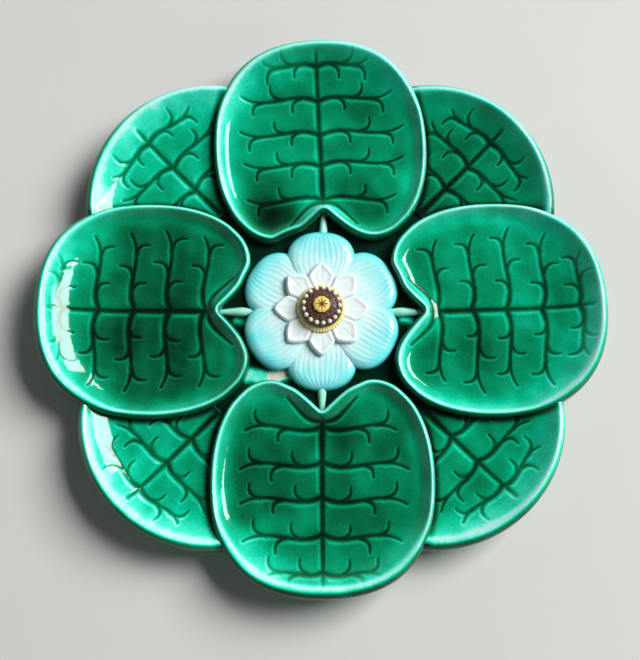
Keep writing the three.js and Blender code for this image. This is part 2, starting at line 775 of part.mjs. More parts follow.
// Stalks, half round and tapered, each cut where it runs out from under the petals and into a pad's notch
function stalk(pad, notch) {
  const start = PETAL_WIDEST_AT;
  const depth = notch.length() + STALK_SUNK_LENGTH - start;
  const section = new THREE.Shape();
  section.absellipse(0, 0, STALK_HALF_WIDTH, STALK_HEIGHT, 0, Math.PI);
  const curveSegments = STALK_ARC_STEPS;
  const bar = new THREE.ExtrudeGeometry(section, { depth, curveSegments, bevelEnabled: false });
  const corners = bar.attributes.position;
  for (let index = 0; index < corners.count; index += 1) {
    const scale = THREE.MathUtils.lerp(1, STALK_TIP_SHARE, corners.getZ(index) / depth);
    corners.setXY(index, corners.getX(index) * scale, corners.getY(index) * scale);
  }
  const sideways = new THREE.Vector3(0, 1, 0);
  const upward = new THREE.Vector3(0, 0, 1);
  const outward = new THREE.Vector3(1, 0, 0);
  bar.applyMatrix4(new THREE.Matrix4().makeBasis(sideways, upward, outward));
  bar.translate(start, 0, 0);
  bar.rotateZ(notch.angle());
  const petals = [...OVER_PETALS, ...UNDER_PETALS].map(({ direction }) => petalCutter(direction));
  return [frontCutter(pad), ...petals].reduce((solid, cutter) => solid.subtract(cutter), toSolid(bar));
}

for (const pad of frontPads) {
  const notch = pad.outline[FRONT_HALF_STEPS];
  const mesh = addMesh(`stalk_${pad.place}`, toGeometry(stalk(pad, notch)), glazes.stalk);
  mesh.position.z = petalBase;
}

// Dished body, scalloped inside the pads' edges, with a boss under the flower's centre
function bodyGeometry() {
  const outlines = [...frontPads, ...rearPads].map((pad) => pad.outline);
  const outline = [];
  for (let side = 0; side < BODY_SIDES; side += 1) {
    const degrees = (360 * side) / BODY_SIDES;
    const reach = reachAlong(outlines, degrees) - BODY_EDGE_INSET;
    outline.push(new THREE.Vector2(reach, 0).rotateAround(plateCentre, radians(degrees)));
  }
  const circleRing = (radius, height) => ({ distance: () => radius, height });
  const dishRing = (share, height) => ({
    distance: (reach) => THREE.MathUtils.lerp(FOOT_RADIUS, reach, share),
    height,
  });
  const shares = Array.from({ length: BODY_RINGS + 1 }, (unused, index) => index / BODY_RINGS);
  return reliefGeometry(outline, plateCentre, [
    ...shares.map((share) => dishRing(share, undersideAt)),
    ...shares.map((share) => dishRing(1 - share, groundAt)),
    circleRing(BOSS_RADIUS + BOSS_DRAFT, groundAt),
    circleRing(BOSS_RADIUS, () => bossLevel),
  ]);
}

addMesh('plate_body', bodyGeometry(), glazes.body);

// Foot ring under the body
const foot = lathe([
  [FOOT_RADIUS, FOOT_HEIGHT],
  [FOOT_RADIUS - FOOT_WIDTH, FOOT_HEIGHT],
  [FOOT_RADIUS - FOOT_WIDTH + FOOT_DRAFT, 0],
  [FOOT_RADIUS - FOOT_DRAFT, 0],
  [FOOT_RADIUS, FOOT_HEIGHT],
], FOOT_SIDES);
addMesh('foot_ring', foot, glazes.body);

export default plate;
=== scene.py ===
"""Lily pad plate: the glazed form of every moulded piece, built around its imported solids.

Shapes are worked out in millimetres, in the solids' own frame, and written in metres.
Glaze depths run from 0, bare clay, to 1, a deep dark pool.
"""
from math import radians

import bpy
import numpy as np
from mathutils import Matrix, Vector


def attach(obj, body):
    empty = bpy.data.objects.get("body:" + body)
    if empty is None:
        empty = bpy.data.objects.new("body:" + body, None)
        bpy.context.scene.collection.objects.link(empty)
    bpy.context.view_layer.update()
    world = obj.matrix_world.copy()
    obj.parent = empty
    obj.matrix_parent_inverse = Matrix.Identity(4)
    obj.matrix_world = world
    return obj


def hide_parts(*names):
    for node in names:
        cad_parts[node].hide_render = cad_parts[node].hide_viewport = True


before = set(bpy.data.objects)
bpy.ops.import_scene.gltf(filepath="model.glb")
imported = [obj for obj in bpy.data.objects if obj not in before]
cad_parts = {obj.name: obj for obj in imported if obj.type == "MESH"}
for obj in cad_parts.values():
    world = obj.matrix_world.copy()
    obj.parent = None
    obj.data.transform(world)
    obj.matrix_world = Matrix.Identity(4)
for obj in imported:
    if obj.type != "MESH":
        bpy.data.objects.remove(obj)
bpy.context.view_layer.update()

MM = 0.001

# Body and foot
FOOT_RADIUS = 62.0
FOOT_WIDTH = 6.0
FOOT_HEIGHT = 4.0
FOOT_ROUND = 1.3
BODY_THICKNESS = 4.5
BODY_EDGE_THICKNESS = 1.8
BODY_EDGE_INSET = 0.9
DISH_START = 78.0
DISH_BEND_RADIUS = 80.0

# Front pads: u runs outward from the plate's centre, v sideways
FRONT_REACH = 112.5
FRONT_HALF_WIDTH = 43.3
FRONT_WIDEST_AT = 68.0
FRONT_NOTCH_AT = 41.5
FRONT_LOBE_AT = 28.6
FRONT_LOBE_SPREAD = 20.2
FRONT_THICKNESS = 2.2
FRONT_LIP_HEIGHT = 3.6
NOTCH_FLARE = 8.1
LOBE_INNER_ROUND = 6.8
LOBE_OUTER_ROUND = 10.4
SIDE_ROUND = 27.0
SHOULDER_ROUND = 25.0
END_ROUND = 33.0
CHANNEL_WIDTH = 3.0
FLOWER_GAP = 1.2

# Rear pads
REAR_REACH = 112.0
REAR_ARC_RADIUS = 52.0
REAR_NOSE_AT = 57.0
REAR_NOSE_ROUND = 14.0
REAR_SIDE_ANGLE = 62.0
REAR_THICKNESS = 1.2
REAR_LIP_HEIGHT = 3.3
REAR_TUCK = 1.6

# Lip of every pad: narrow and upright between neighbours, broad and rolled along the plate's rim
LIP_WIDTH = 6.5
LIP_CREST_INSET = 1.2
LIP_EDGE_DROP = 0.8
RIM_LIP_WIDTH = 14.0
RIM_CREST_INSET = 2.4
RIM_EDGE_DROP = 2.4
RIM_STARTS_IN = 22.0
RIM_FULL_IN = 6.0
LIP_ROUND_FROM = 0.95

# Water lily
PETAL_ROOT_AT = 9.4
PETAL_REACH = 32.4
PETAL_HALF_WIDTH = 13.6
PETAL_WIDEST_AT = 21.5
PETAL_ROOT_HALF_WIDTH = 8.4
PETAL_END_ROUND = 6.3
PETAL_TIP_ROUND = 8.8
PETAL_SIDE_ROUND = 5.0
PETAL_CROWN_HEIGHT = 4.6
PETAL_EDGE_DROP = 2.0
PETAL_SHOULDER = 4.5
PETAL_UNDER_DROP = 0.7
INNER_PETAL_COUNT = 8
INNER_PETAL_REACH = 19.2
INNER_PETAL_WIDEST_AT = 13.2
INNER_PETAL_SIDE_ROUND = 2.8
INNER_PETAL_THICKNESS = 1.5
FRINGE_RADIUS = 9.6
FRINGE_THICKNESS = 0.8
BEAD_COUNT = 17
BEAD_CIRCLE_RADIUS = 7.1
BEAD_RADIUS = 0.85
HEAD_RADIUS = 8.3
HEAD_HEIGHT = 4.2
STIGMA_RADIUS = 3.3
STIGMA_THICKNESS = 0.7
STALK_HALF_WIDTH = 2.6
STALK_HEIGHT = 3.2
STALK_TIP_SHARE = 0.2

# Levels above the underside of the foot
SEAT_GAP = 0.3
SUNK = 0.4
GROUND = FOOT_HEIGHT + BODY_THICKNESS
FRONT_FLOOR = GROUND + SEAT_GAP + FRONT_THICKNESS
REAR_FLOOR = GROUND + SEAT_GAP + REAR_THICKNESS
PETAL_BASE = GROUND + SEAT_GAP
INNER_PETAL_BASE = PETAL_BASE + PETAL_CROWN_HEIGHT + SEAT_GAP
FRINGE_BASE = INNER_PETAL_BASE + INNER_PETAL_THICKNESS + SEAT_GAP
HEAD_BASE = FRINGE_BASE + FRINGE_THICKNESS + SEAT_GAP
STIGMA_BASE = HEAD_BASE + HEAD_HEIGHT + SEAT_GAP

# Each pad's direction and how far it leans about its own middle, in degrees
FRONT_PADS = {"right": (0, 1.3), "top": (90, 2.4), "left": (180, -0.5), "bottom": (270, 0)}
REAR_PADS = {"upper_right": 45, "upper_left": 135, "lower_left": 225, "lower_right": 315}
OVER_PETALS = {"top": 90, "lower_left": 210, "lower_right": 330}
UNDER_PETALS = {"upper_right": 30, "upper_left": 150, "bottom": 270}

# Glaze colours, linear, each at its depth
GREEN = (
    (0.00, (0.74, 0.70, 0.54)),
    (0.035, (0.62, 0.97, 0.92)),
    (0.11, (0.52, 0.98, 0.92)),
    (0.21, (0.05, 0.88, 0.62)),
    (0.34, (0.002, 0.57, 0.325)),
    (0.50, (0.001, 0.315, 0.145)),
    (0.66, (0.001, 0.150, 0.056)),
    (0.82, (0.001, 0.052, 0.021)),
    (1.00, (0.001, 0.012, 0.007)),
)
PALE_GREEN = ((0.0, (0.62, 0.97, 0.85)), (0.4, (0.28, 0.90, 0.69)), (1.0, (0.02, 0.34, 0.20)))
TURQUOISE = (
    (0.0, (0.78, 0.96, 0.95)),
    (0.3, (0.45, 0.95, 0.94)),
    (0.6, (0.16, 0.88, 0.89)),
    (1.0, (0.01, 0.38, 0.40)),
)
WHITE = ((0.0, (0.95, 0.99, 0.985)), (0.5, (0.70, 0.97, 0.96)), (1.0, (0.20, 0.64, 0.64)))
YELLOW = (
    (0.0, (0.96, 0.90, 0.46)),
    (0.3, (0.94, 0.70, 0.12)),
    (0.6, (0.62, 0.27, 0.020)),
    (1.0, (0.08, 0.022, 0.006)),
)
CREAM = ((0.0, (0.95, 0.89, 0.72)), (0.6, (0.74, 0.56, 0.33)), (1.0, (0.14, 0.06, 0.03)))
BROWN = ((0.0, (0.54, 0.35, 0.28)), (0.35, (0.17, 0.062, 0.038)), (1.0, (0.020, 0.006, 0.004)))


# Plane curves and fields
def lengths(vectors):
    return np.hypot(vectors[..., 0], vectors[..., 1])


def bearings(vectors):
    return np.arctan2(vectors[..., 1], vectors[..., 0])


def directions(angles):
    return np.stack([np.cos(angles), np.sin(angles)], axis=1)


def even_angles(count):
    return 2 * np.pi * np.arange(count) / count


def circle(radius, count):
    return radius * directions(even_angles(count))


def bezier(start, first, second, end, count=80):
    share = np.linspace(0, 1, count)[:, None]
    rest = 1 - share
    start, first, second, end = (np.array(point, float) for point in (start, first, second, end))
    ends = rest**3 * start, share**3 * end
    return ends[0] + 3 * rest**2 * share * first + 3 * rest * share**2 * second + ends[1]


def spaced(points, count):
    """The same open curve with evenly spaced points."""
    along = np.concatenate([[0], np.cumsum(lengths(np.diff(points, axis=0)))])
    wanted = np.linspace(0, along[-1], count)
    return np.stack([np.interp(wanted, along, points[:, axis]) for axis in (0, 1)], axis=1)


def mirrored(half):
    """Closed counter-clockwise outline from one half, listed from its inner to its outer end."""
    return np.concatenate([half[::-1], half[1:-1] * (1, -1)])


def softened(outline, passes):
    """The same closed outline with its corners rounded."""
    for _ in range(passes):
        outline = (np.roll(outline, 1, axis=0) + 2 * outline + np.roll(outline, -1, axis=0)) / 4
    return outline


def turn(points, degrees, about=(0.0, 0.0)):
    angle = radians(degrees)
    spin = np.array([[np.cos(angle), np.sin(angle)], [-np.sin(angle), np.cos(angle)]])
    return (np.asarray(points) - about) @ spin + about


def smoothstep(low, high, value):
    share = np.clip((value - low) / (high - low), 0, 1)
    return share * share * (3 - 2 * share)


def falling(low, high, value):
    return 1 - smoothstep(low, high, value)


def bell(value, middle, width):
    return np.exp(-(((value - middle) / width) ** 2))


RIPPLE_WAVES = 9
RIPPLE_LENGTHS = (0.7, 1.5)


def ripple(points, size, wavelength, seed):
    """Smooth waves in mixed directions, about size high and deep."""
    draw = np.random.default_rng(seed)
    total = np.zeros(len(points))
    for _ in range(RIPPLE_WAVES):
        angle, phase = draw.uniform(0, 2 * np.pi, 2)
        length = wavelength * draw.uniform(*RIPPLE_LENGTHS)
        along = points @ np.array([np.cos(angle), np.sin(angle)])
        total += np.sin(2 * np.pi * along / length + phase)
    return size * (total / np.sqrt(2 * RIPPLE_WAVES))


def ripples(points, waves, seed):
    """Sum of ripples, each given as its size, its wavelength and what it adds to the seed."""
    return sum(ripple(points, size, length, seed + step) for size, length, step in waves)


def edge_distance(points, outline, block=4000):
    """Least distance from each point to a closed outline."""
    runs = np.roll(outline, -1, axis=0) - outline
    squares = (runs**2).sum(1)
    least = np.empty(len(points))
    for first in range(0, len(points), block):
        away = points[first : first + block, None] - outline
        share = np.clip((away * runs).sum(2) / squares, 0, 1)
        gap = away - share[..., None] * runs
        least[first : first + block] = np.sqrt((gap**2).sum(2).min(1))
    return least


def nearest(points, others, widths=1.0, block=3000):
    """Least distance from each point to others, each counted in its own width, and which it is."""
    least = np.empty(len(points))
    which = np.empty(len(points), int)
    for first in range(0, len(points), block):
        gaps = points[first : first + block, None] - others
        far = np.sqrt(np.einsum("ijk,ijk->ij", gaps, gaps)) / widths
        which[first : first + block] = far.argmin(1)
        least[first : first + block] = far.min(1)
    return least, which


def reach_function(outline, heart):
    """Reach of an outline from its heart point, by angle."""
    rays = outline - heart
    angles, reaches = bearings(rays), lengths(rays)
    order = np.argsort(angles)
    return lambda wanted: np.interp(wanted, angles[order], reaches[order], period=2 * np.pi)


# Heights
def dish_rise(points):
    run = np.maximum(0, lengths(points) - DISH_START)
    return run**2 / (2 * DISH_BEND_RADIUS)


def seat(points):
    """Where a piece's underside lies, a little way into the body."""
    return GROUND - SUNK + dish_rise(points)


def level(height):
    """Flat underside at one height."""
    return lambda points: np.full(len(points), height)


# Glaze on a lip: a usual measure, and how much it grows on the side away from the light: pooling
# and painted shade on the outer roll, thinning and painted light up the inside, and the pale crest
# set further in
LIP_POOL_AND_SHADE = (0.30, 0.26)
LIP_THIN_AND_LIT = (0.225, 0.055)
PALE_CREST_AT = (1.1, 0.55)
# Where it pools, in shares of the crest's inset, and how far past the lip it is still thinned
LIP_POOL_FADE = (0.3, 1.1)
LIP_THINNED_PAST = 5.0
# Width of the pale crest, and how much that grows with the crest's inset
PALE_CREST_WIDTH = (0.35, 0.42)
PALE_CREST_SHARE = 0.95
# Least depth of the glaze on a pad, so that its clay is bare nowhere
THINNEST = 0.10
# Share of a vein left at the crest and regained inside it, over these shares of the lip's width
VEIN_LEFT = (0.45, 0.55)
VEIN_FADE = (0.25, 0.72)


class Lip:
    """Form of a pad's lip along edges at given distances from the plate's centre.

    side is 1 where the edge lies away from the light, and -1 opposite. On that side the glaze
    paints shade down the outer roll and light up the inside wall.
    """

    def __init__(self, edge_radius, side):
        self.side = side
        rim = smoothstep(FRONT_REACH - RIM_STARTS_IN, FRONT_REACH - RIM_FULL_IN, edge_radius)
        self.width = LIP_WIDTH + rim * (RIM_LIP_WIDTH - LIP_WIDTH)
        self.crest = LIP_CREST_INSET + rim * (RIM_CREST_INSET - LIP_CREST_INSET)
        self.drop = LIP_EDGE_DROP + rim * (RIM_EDGE_DROP - LIP_EDGE_DROP)

    def sided(self, usual, growth):
        return usual + growth * self.side

    def rise(self, height, inset):
        """Hollow on the inside, round at the crest, falling away to the edge."""
        share = np.clip((self.width - inset) / (self.width - self.crest), 0, 1)
        rounding = 2 / (3 * (1 - LIP_ROUND_FROM) ** 2)
        hollow = share**2 - rounding * np.maximum(0, share - LIP_ROUND_FROM) ** 3
        top = 1 - rounding * (1 - LIP_ROUND_FROM) ** 3
        fall = np.clip((self.crest - inset) / self.crest, 0, 1)
        return height * hollow / top - self.drop * fall**2

    def glaze(self, inset):
        """Glaze thins up the inside and lies deep down the outer side, partly as glaze and partly
        as painted light on the inside wall and painted shade on the outer roll.
        """
        outside = falling(*(share * self.crest for share in LIP_POOL_FADE), inset)
        inside = falling(self.crest, self.width + LIP_THINNED_PAST, inset)
        return self.sided(*LIP_POOL_AND_SHADE) * outside - self.sided(*LIP_THIN_AND_LIT) * inside

    def pale_crest(self, glaze, inset):
        """The same depths, drawn down to the least along the crest, which lies further in on the
        side away from the light, leaving painted shade along the outer edge there.
        """
        middle = self.sided(*PALE_CREST_AT) * self.crest
        width = PALE_CREST_WIDTH[0] + PALE_CREST_WIDTH[1] * self.crest
        share = PALE_CREST_SHARE * bell(inset, middle, width)
        return glaze + share * (THINNEST - glaze)

    def vein_share(self, inset):
        """How much of a vein is left on its way up the lip."""
        regained = smoothstep(*(share * self.width for share in VEIN_FADE), inset)
        return VEIN_LEFT[0] + VEIN_LEFT[1] * regained


# Meshes
def show(thing):
    bpy.context.scene.collection.objects.link(thing)
    return thing


class Shell:
    """Vertices in millimetres, each with its glaze depth, and faces."""

    def __init__(self):
        self.points = []
        self.glaze = []
        self.faces = []
        self.count = 0

    def add(self, points, heights, glaze):
        """Adds vertices and returns their numbers."""
        heights = np.broadcast_to(heights, len(points))
        self.points.append(np.column_stack([points, heights]))
        self.glaze.append(np.broadcast_to(glaze, len(points)))
        self.count += len(points)
        return np.arange(self.count - len(points), self.count)

    def join(self, loops):
        """Quads between closed loops, in order: out over the top, down the wall, in underneath."""
        for loop, following in zip(loops, loops[1:]):
            after, beyond = np.roll(loop, -1), np.roll(following, -1)
            self.faces += np.column_stack([loop, following, beyond, after]).tolist()

    def close(self, loop, centre):
        """Triangles from the last loop to its centre, or from the first loop, listed backwards."""
        after = np.roll(loop, -1).tolist()
        self.faces += [[one, int(centre[0]), two] for one, two in zip(loop.tolist(), after)]

    def piece(self, name, node, slot, material):
        """Makes the object, in metres, in place of a solid."""
        mesh = bpy.data.meshes.new(name)
        mesh.from_pydata((np.concatenate(self.points) * MM).tolist(), [], self.faces)
        depths = mesh.attributes.new("glaze", "FLOAT", "POINT").data
        depths.foreach_set("value", np.concatenate(self.glaze))
        mesh.shade_smooth()
        mesh.materials.append(material)
        piece = show(bpy.data.objects.new(name, mesh))
        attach(piece, "root")
        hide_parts(node)
        return piece


def disc_lattice(count):
    """Square lattice bent onto a unit disc: points, quads and the outer loop, counter-clockwise."""
    line = np.linspace(-1, 1, count + 1)
    across, up = (grid.ravel() for grid in np.meshgrid(line, line))
    wide = np.abs(across) >= np.abs(up)
    longer = np.where(wide, across, up)
    shorter = np.where(wide, up, across)
    lean = np.pi / 4 * np.divide(shorter, longer, out=np.zeros_like(longer), where=longer != 0)
    angle = np.where(wide, lean, np.pi / 2 - lean)
    points = longer[:, None] * directions(angle)
    numbers = np.arange((count + 1) ** 2).reshape(count + 1, count + 1)
    corners = numbers[:-1, :-1], numbers[:-1, 1:], numbers[1:, 1:], numbers[1:, :-1]
    quads = np.stack([corner.ravel() for corner in corners], axis=1)
    loop = [numbers[0, :-1], numbers[:-1, -1], numbers[-1, :0:-1], numbers[:0:-1, 0]]
    return points, quads, np.concatenate(loop)


# Rings down a wall and in under a piece, by their shares of the way
WALL_SHARES = (0.06, 0.2, 0.45, 0.75, 1.0)
UNDERSIDE_SHARES = (0.8, 0.55, 0.3)
# How far a pad's wall spreads on its way down, and the glaze at its top and foot
PAD_WALL = (0.5, (0.6, 0.95))


def relief(outline, heart, count, top, base, wall=PAD_WALL):
    """Closed piece over an outline. top gives heights and glaze depths, base the underside."""
    shell = Shell()
    heart = np.asarray(heart, float)
    spots, quads, rim = disc_lattice(count)
    points = heart + spots * reach_function(outline, heart)(bearings(spots))[:, None]
    inset = edge_distance(points, outline)
    inset[rim] = 0
    heights, glaze = top(points, inset)
    shell.add(points, heights, glaze)
    shell.faces += quads.tolist()
    edge, edge_heights = points[rim], heights[rim]
    along = np.roll(edge, -1, axis=0) - np.roll(edge, 1, axis=0)
    outward = np.stack([along[:, 1], -along[:, 0]], axis=1) / lengths(along)[:, None]
    spread, (upper, lower) = wall
    loops = [rim]
    for share in WALL_SHARES:
        ring = edge + outward * spread * np.sqrt(share)
        fall = edge_heights + share * (base(ring) - edge_heights)
        loops.append(shell.add(ring, fall, upper + share * (lower - upper)))
    for share in UNDERSIDE_SHARES:
        under = heart + (edge - heart) * share
        loops.append(shell.add(under, base(under), lower))
    shell.join(loops)
    shell.close(loops[-1], shell.add(heart[None], base(heart[None]), lower))
    return shell


# Leaf veins, incised: each is a path in its pad's own u and v, with its half width along it
# Bearing away from the light, in degrees, along which lips and veins get painted light and shade
AWAY_FROM_LIGHT = 240.0
MIDRIB_HALF_WIDTHS = (1.3, 0.85)
LATERAL_HALF_WIDTHS = (1.15, 0.55)
HOOK_HALF_WIDTHS = (0.95, 0.48)
VEIN_STEP = 0.4
VEIN_MARGIN = 3.0
VEIN_FAR = 9.0
VEIN_LEAST_GAP = 0.01
# Side veins: their bend, for a vein of one length, and where they leave the midrib
LATERAL_BEND = np.polyfit([0, 0.3, 0.7, 1], [0, 1.4, -0.3, 1.8], 3)
LATERAL_BEND_LENGTH = 30
LATERAL_START = 0.4
LATERAL_POINTS = 40
LATERAL_STRETCH = (0.94, 1.05)
ROW_JITTER = 0.5
# Hooks: the shares of their size, outward and along, at which their curves are drawn
HOOK_CURVE = ((0.5, 0.1), (0.95, 0.25), (0.85, 1.05))
HOOK_POINTS = 20
HOOK_SIZES = (4.6, 5.8)
HOOK_JITTER = 0.03
FULL_HOOKS = ((0.2, -1), (0.45, 1), (0.73, -1))
INNER_HOOKS = ((0.45, 1), (0.73, -1))
# Rows of side veins: place along the midrib, length, lean and hooks
FRONT_ROWS = (
    (46.5, 29.0, -0.02, INNER_HOOKS),
    (60.5, 32.5, 0.02, FULL_HOOKS),
    (74.5, 32.5, 0.02, FULL_HOOKS),
    (88.5, 30.0, 0.02, FULL_HOOKS),
    (102.5, 21.5, 0.0, FULL_HOOKS),
)
FRONT_MIDRIB = (44.0, 107.5)
BASAL_VEIN = ((44.6, 0.6), (45.2, 6.0), (40.5, 8.6), (35.2, 13.6))
REAR_ROWS = (
    (72.0, 24.0, 0.10, FULL_HOOKS),
    (85.5, 24.0, 0.08, FULL_HOOKS),
    (99.0, 21.0, -0.10, FULL_HOOKS),
)
REAR_MIDRIB = (58.0, 105.0)


def vein(points, half_widths):
    length = lengths(np.diff(points, axis=0)).sum()
    path = spaced(points, max(3, int(length / VEIN_STEP)))
    return path, np.linspace(*half_widths, len(path))


def hook(start, outward, towards, size):
    """Short side vein that leaves outward and bends to the pad's end (1) or its notch (-1)."""
    start = np.asarray(start)
    across, along = np.array([0.0, outward]) * size, np.array([towards, 0.0]) * size
    curve = (start + out * across + on * along for out, on in HOOK_CURVE)
    return vein(bezier(start, *curve, HOOK_POINTS), HOOK_HALF_WIDTHS)


def lateral(row, outward, length, lean, hooks, draw):
    """One side vein with its hooks, each given as its share along it and the way that it bends."""
    share = np.linspace(0, 1, LATERAL_POINTS)
    bend = np.polyval(LATERAL_BEND, share) * length / LATERAL_BEND_LENGTH
    across = outward * (LATERAL_START + share * length)
    path = np.stack([row + bend + lean * share * length, across], axis=1)
    veins = [vein(path, LATERAL_HALF_WIDTHS)]
    for place, towards in hooks:
        place = place + draw.uniform(-HOOK_JITTER, HOOK_JITTER)
        start = [np.interp(place, share, path[:, axis]) for axis in (0, 1)]
        veins.append(hook(start, outward, towards, draw.uniform(*HOOK_SIZES)))
    return veins


def leaf_veins(midrib, rows, basal, seed):
    draw = np.random.default_rng(seed)
    veins = [vein(np.array([[midrib[0], 0.0], [midrib[1], 0.0]]), MIDRIB_HALF_WIDTHS)]
    for outward in (1, -1):
        for row, length, lean, hooks in rows:
            place = row + draw.uniform(-ROW_JITTER, ROW_JITTER)
            length = length * draw.uniform(*LATERAL_STRETCH)
            veins += lateral(place, outward, length, lean, hooks, draw)
        if basal:
            path = bezier(*(np.array(point) * (1, outward) for point in basal))
            veins.append(vein(path, LATERAL_HALF_WIDTHS))
    return veins


def vein_field(points, veins, lit_wall_way):
    """Distance to the nearest vein in its half widths, that half width, and its side, -1 to 1,
    which is 1 on the side where the cut's wall faces the light.
    """
    nearness = np.full(len(points), VEIN_FAR)
    widths = np.full(len(points), LATERAL_HALF_WIDTHS[0])
    lit_sides = np.zeros(len(points))
    for path, half_widths in veins:
        low, high = path.min(0) - VEIN_MARGIN, path.max(0) + VEIN_MARGIN
        near = np.flatnonzero(((points > low) & (points < high)).all(1))
        if len(near):
            least, best = nearest(points[near], path, half_widths)
            closer = least < nearness[near]
            nearness[near[closer]] = least[closer]
            widths[near[closer]] = half_widths[best[closer]]
            away = points[near[closer]] - path[best[closer]]
            lit_sides[near[closer]] = away @ lit_wall_way / np.maximum(lengths(away), VEIN_LEAST_GAP)
    return nearness, widths, lit_sides


# Section of a vein: depth and shoulder height in half widths, and their places across it
VEIN_DEPTH_SHARE = 0.10
VEIN_SHOULDER_SHARE = 0.02
VEIN_CUT = (0.0, 1.5)
VEIN_SHOULDER = (1.7, 0.45)
# Glaze across a vein. The shoulders' thinning is a usual one and how much it grows on the side
# where the cut's wall faces the light, a painted highlight
VEIN_STRENGTHS = (0.85, 1.1)
VEIN_POOL = 0.36
VEIN_POOL_FADE = (0.15, 1.4)
SHOULDER_THIN_AND_LIT = (0.09, 0.13)
SHOULDER_THINNED = (1.8, 0.6)


def carving(nearness, widths):
    """Height of the incised veins and the ridge that each cut has pushed up beside it."""
    cut = falling(*VEIN_CUT, nearness)
    ridge = bell(nearness, *VEIN_SHOULDER)
    return widths * (VEIN_SHOULDER_SHARE * ridge - VEIN_DEPTH_SHARE * cut)


def vein_glaze(nearness, widths, lit_sides):
    """Glaze lies deep in the cut and thin on its shoulders; the shoulder where the cut's wall faces
    the light is paler still, a painted highlight.
    """
    strength = np.clip(widths / LATERAL_HALF_WIDTHS[0], *VEIN_STRENGTHS)
    thin_and_lit = SHOULDER_THIN_AND_LIT[0] + SHOULDER_THIN_AND_LIT[1] * lit_sides
    shoulder = thin_and_lit * bell(nearness, *SHOULDER_THINNED)
    return strength * (VEIN_POOL * falling(*VEIN_POOL_FADE, nearness) - shoulder)


# Materials: each noise is given as its scale, per metre, and its detail
GLAZE_IOR = 1.53
FINE_NOISE = (900.0, 4.0)
BROAD_NOISE = (70.0, 3.0)
SURFACE_NOISE = (350.0, 3.0)
PIN_HOLE_SCALE = 130.0
PIN_HOLE_SIZE = 0.035
BUMP_STRENGTH = 0.25
BUMP_DISTANCE = 0.05 * MM


def add_node(tree, kind, **settings):
    node = tree.nodes.new(kind)
    for name, value in settings.items():
        setattr(node, name, value)
    return node


def new_material(name):
    material = bpy.data.materials.new(name)
    material.use_nodes = True
    return material, material.node_tree, material.node_tree.nodes["Principled BSDF"]


def noise(tree, coordinates, scale, detail):
    texture = add_node(tree, "ShaderNodeTexNoise")
    texture.inputs["Scale"].default_value = scale
    texture.inputs["Detail"].default_value = detail
    tree.links.new(coordinates, texture.inputs["Vector"])
    return texture.outputs["Fac"]


def scaled(tree, value, factor, offset):
    """value times factor plus offset, where the offset may be another output."""
    node = add_node(tree, "ShaderNodeMath", operation="MULTIPLY_ADD")
    tree.links.new(value, node.inputs[0])
    node.inputs[1].default_value = factor
    if isinstance(offset, float):
        node.inputs[2].default_value = offset
    else:
        tree.links.new(offset, node.inputs[2])
    return node.outputs[0]


def with_number(tree, value, operation, number):
    node = add_node(tree, "ShaderNodeMath", operation=operation)
    node.inputs[1].default_value = number
    tree.links.new(value, node.inputs[0])
    return node.outputs[0]


def colour_by(tree, value, stops, shader):
    """Colours a surface by a value, through a ramp."""
    ramp = add_node(tree, "ShaderNodeValToRGB")
    elements = ramp.color_ramp.elements
    while len(elements) < len(stops):
        elements.new(1.0)
    for element, (position, colour) in zip(elements, stops):
        element.position = position
        element.color = (*colour, 1.0)
    tree.links.new(value, ramp.inputs["Fac"])
    tree.links.new(ramp.outputs["Color"], shader.inputs["Base Color"])


def glaze_material(name, stops, mottle=0.12, cloud=0.16, pits=0.2, roughness=(0.04, 0.12)):
    """Glossy glaze: its depth sets the colour, with fine mottling, clouds and pin holes."""
    material, tree, shader = new_material(name)
    shader.inputs["IOR"].default_value = GLAZE_IOR
    coordinates = add_node(tree, "ShaderNodeTexCoord").outputs["Object"]
    depth = add_node(tree, "ShaderNodeAttribute", attribute_name="glaze").outputs["Fac"]
    fine = noise(tree, coordinates, *FINE_NOISE)
    broad = noise(tree, coordinates, *BROAD_NOISE)
    cells = add_node(tree, "ShaderNodeTexVoronoi")
    cells.inputs["Scale"].default_value = PIN_HOLE_SCALE
    tree.links.new(coordinates, cells.inputs["Vector"])
    hole = with_number(tree, cells.outputs["Distance"], "LESS_THAN", PIN_HOLE_SIZE)
    depth = scaled(tree, fine, mottle, scaled(tree, broad, cloud, depth))
    depth = scaled(tree, hole, pits, depth)
    depth = with_number(tree, depth, "SUBTRACT", (mottle + cloud) / 2)
    colour_by(tree, depth, stops, shader)
    sheen = scaled(tree, broad, roughness[1] - roughness[0], roughness[0])
    tree.links.new(sheen, shader.inputs["Roughness"])
    bump = add_node(tree, "ShaderNodeBump")
    bump.inputs["Strength"].default_value = BUMP_STRENGTH
    bump.inputs["Distance"].default_value = BUMP_DISTANCE
    tree.links.new(noise(tree, coordinates, *SURFACE_NOISE), bump.inputs["Height"])
    tree.links.new(bump.outputs["Normal"], shader.inputs["Normal"])
    return material


dark_glaze = glaze_material("dark_glaze", GREEN)
front_glaze = glaze_material("front_glaze", GREEN)
rear_glaze = glaze_material("rear_glaze", GREEN)
stalk_glaze = glaze_material("stalk_glaze", PALE_GREEN)
petal_glaze = glaze_material("petal_glaze", TURQUOISE)
inner_petal_glaze = glaze_material("inner_petal_glaze", WHITE, mottle=0.08)
yellow_glaze = glaze_material("yellow_glaze", YELLOW, mottle=0.25)
bead_glaze = glaze_material("bead_glaze", CREAM)
brown_glaze = glaze_material("brown_glaze", BROWN, mottle=0.3, roughness=(0.08, 0.22))


# Pads: waves in the surface and clouds in the glaze, as size, wavelength and seed step
PAD_WAVES = ((0.04, 8.0, 0), (0.012, 3.0, 20))
PAD_CLOUDS = ((0.05, 22.0, 50), (0.03, 9.0, 60))


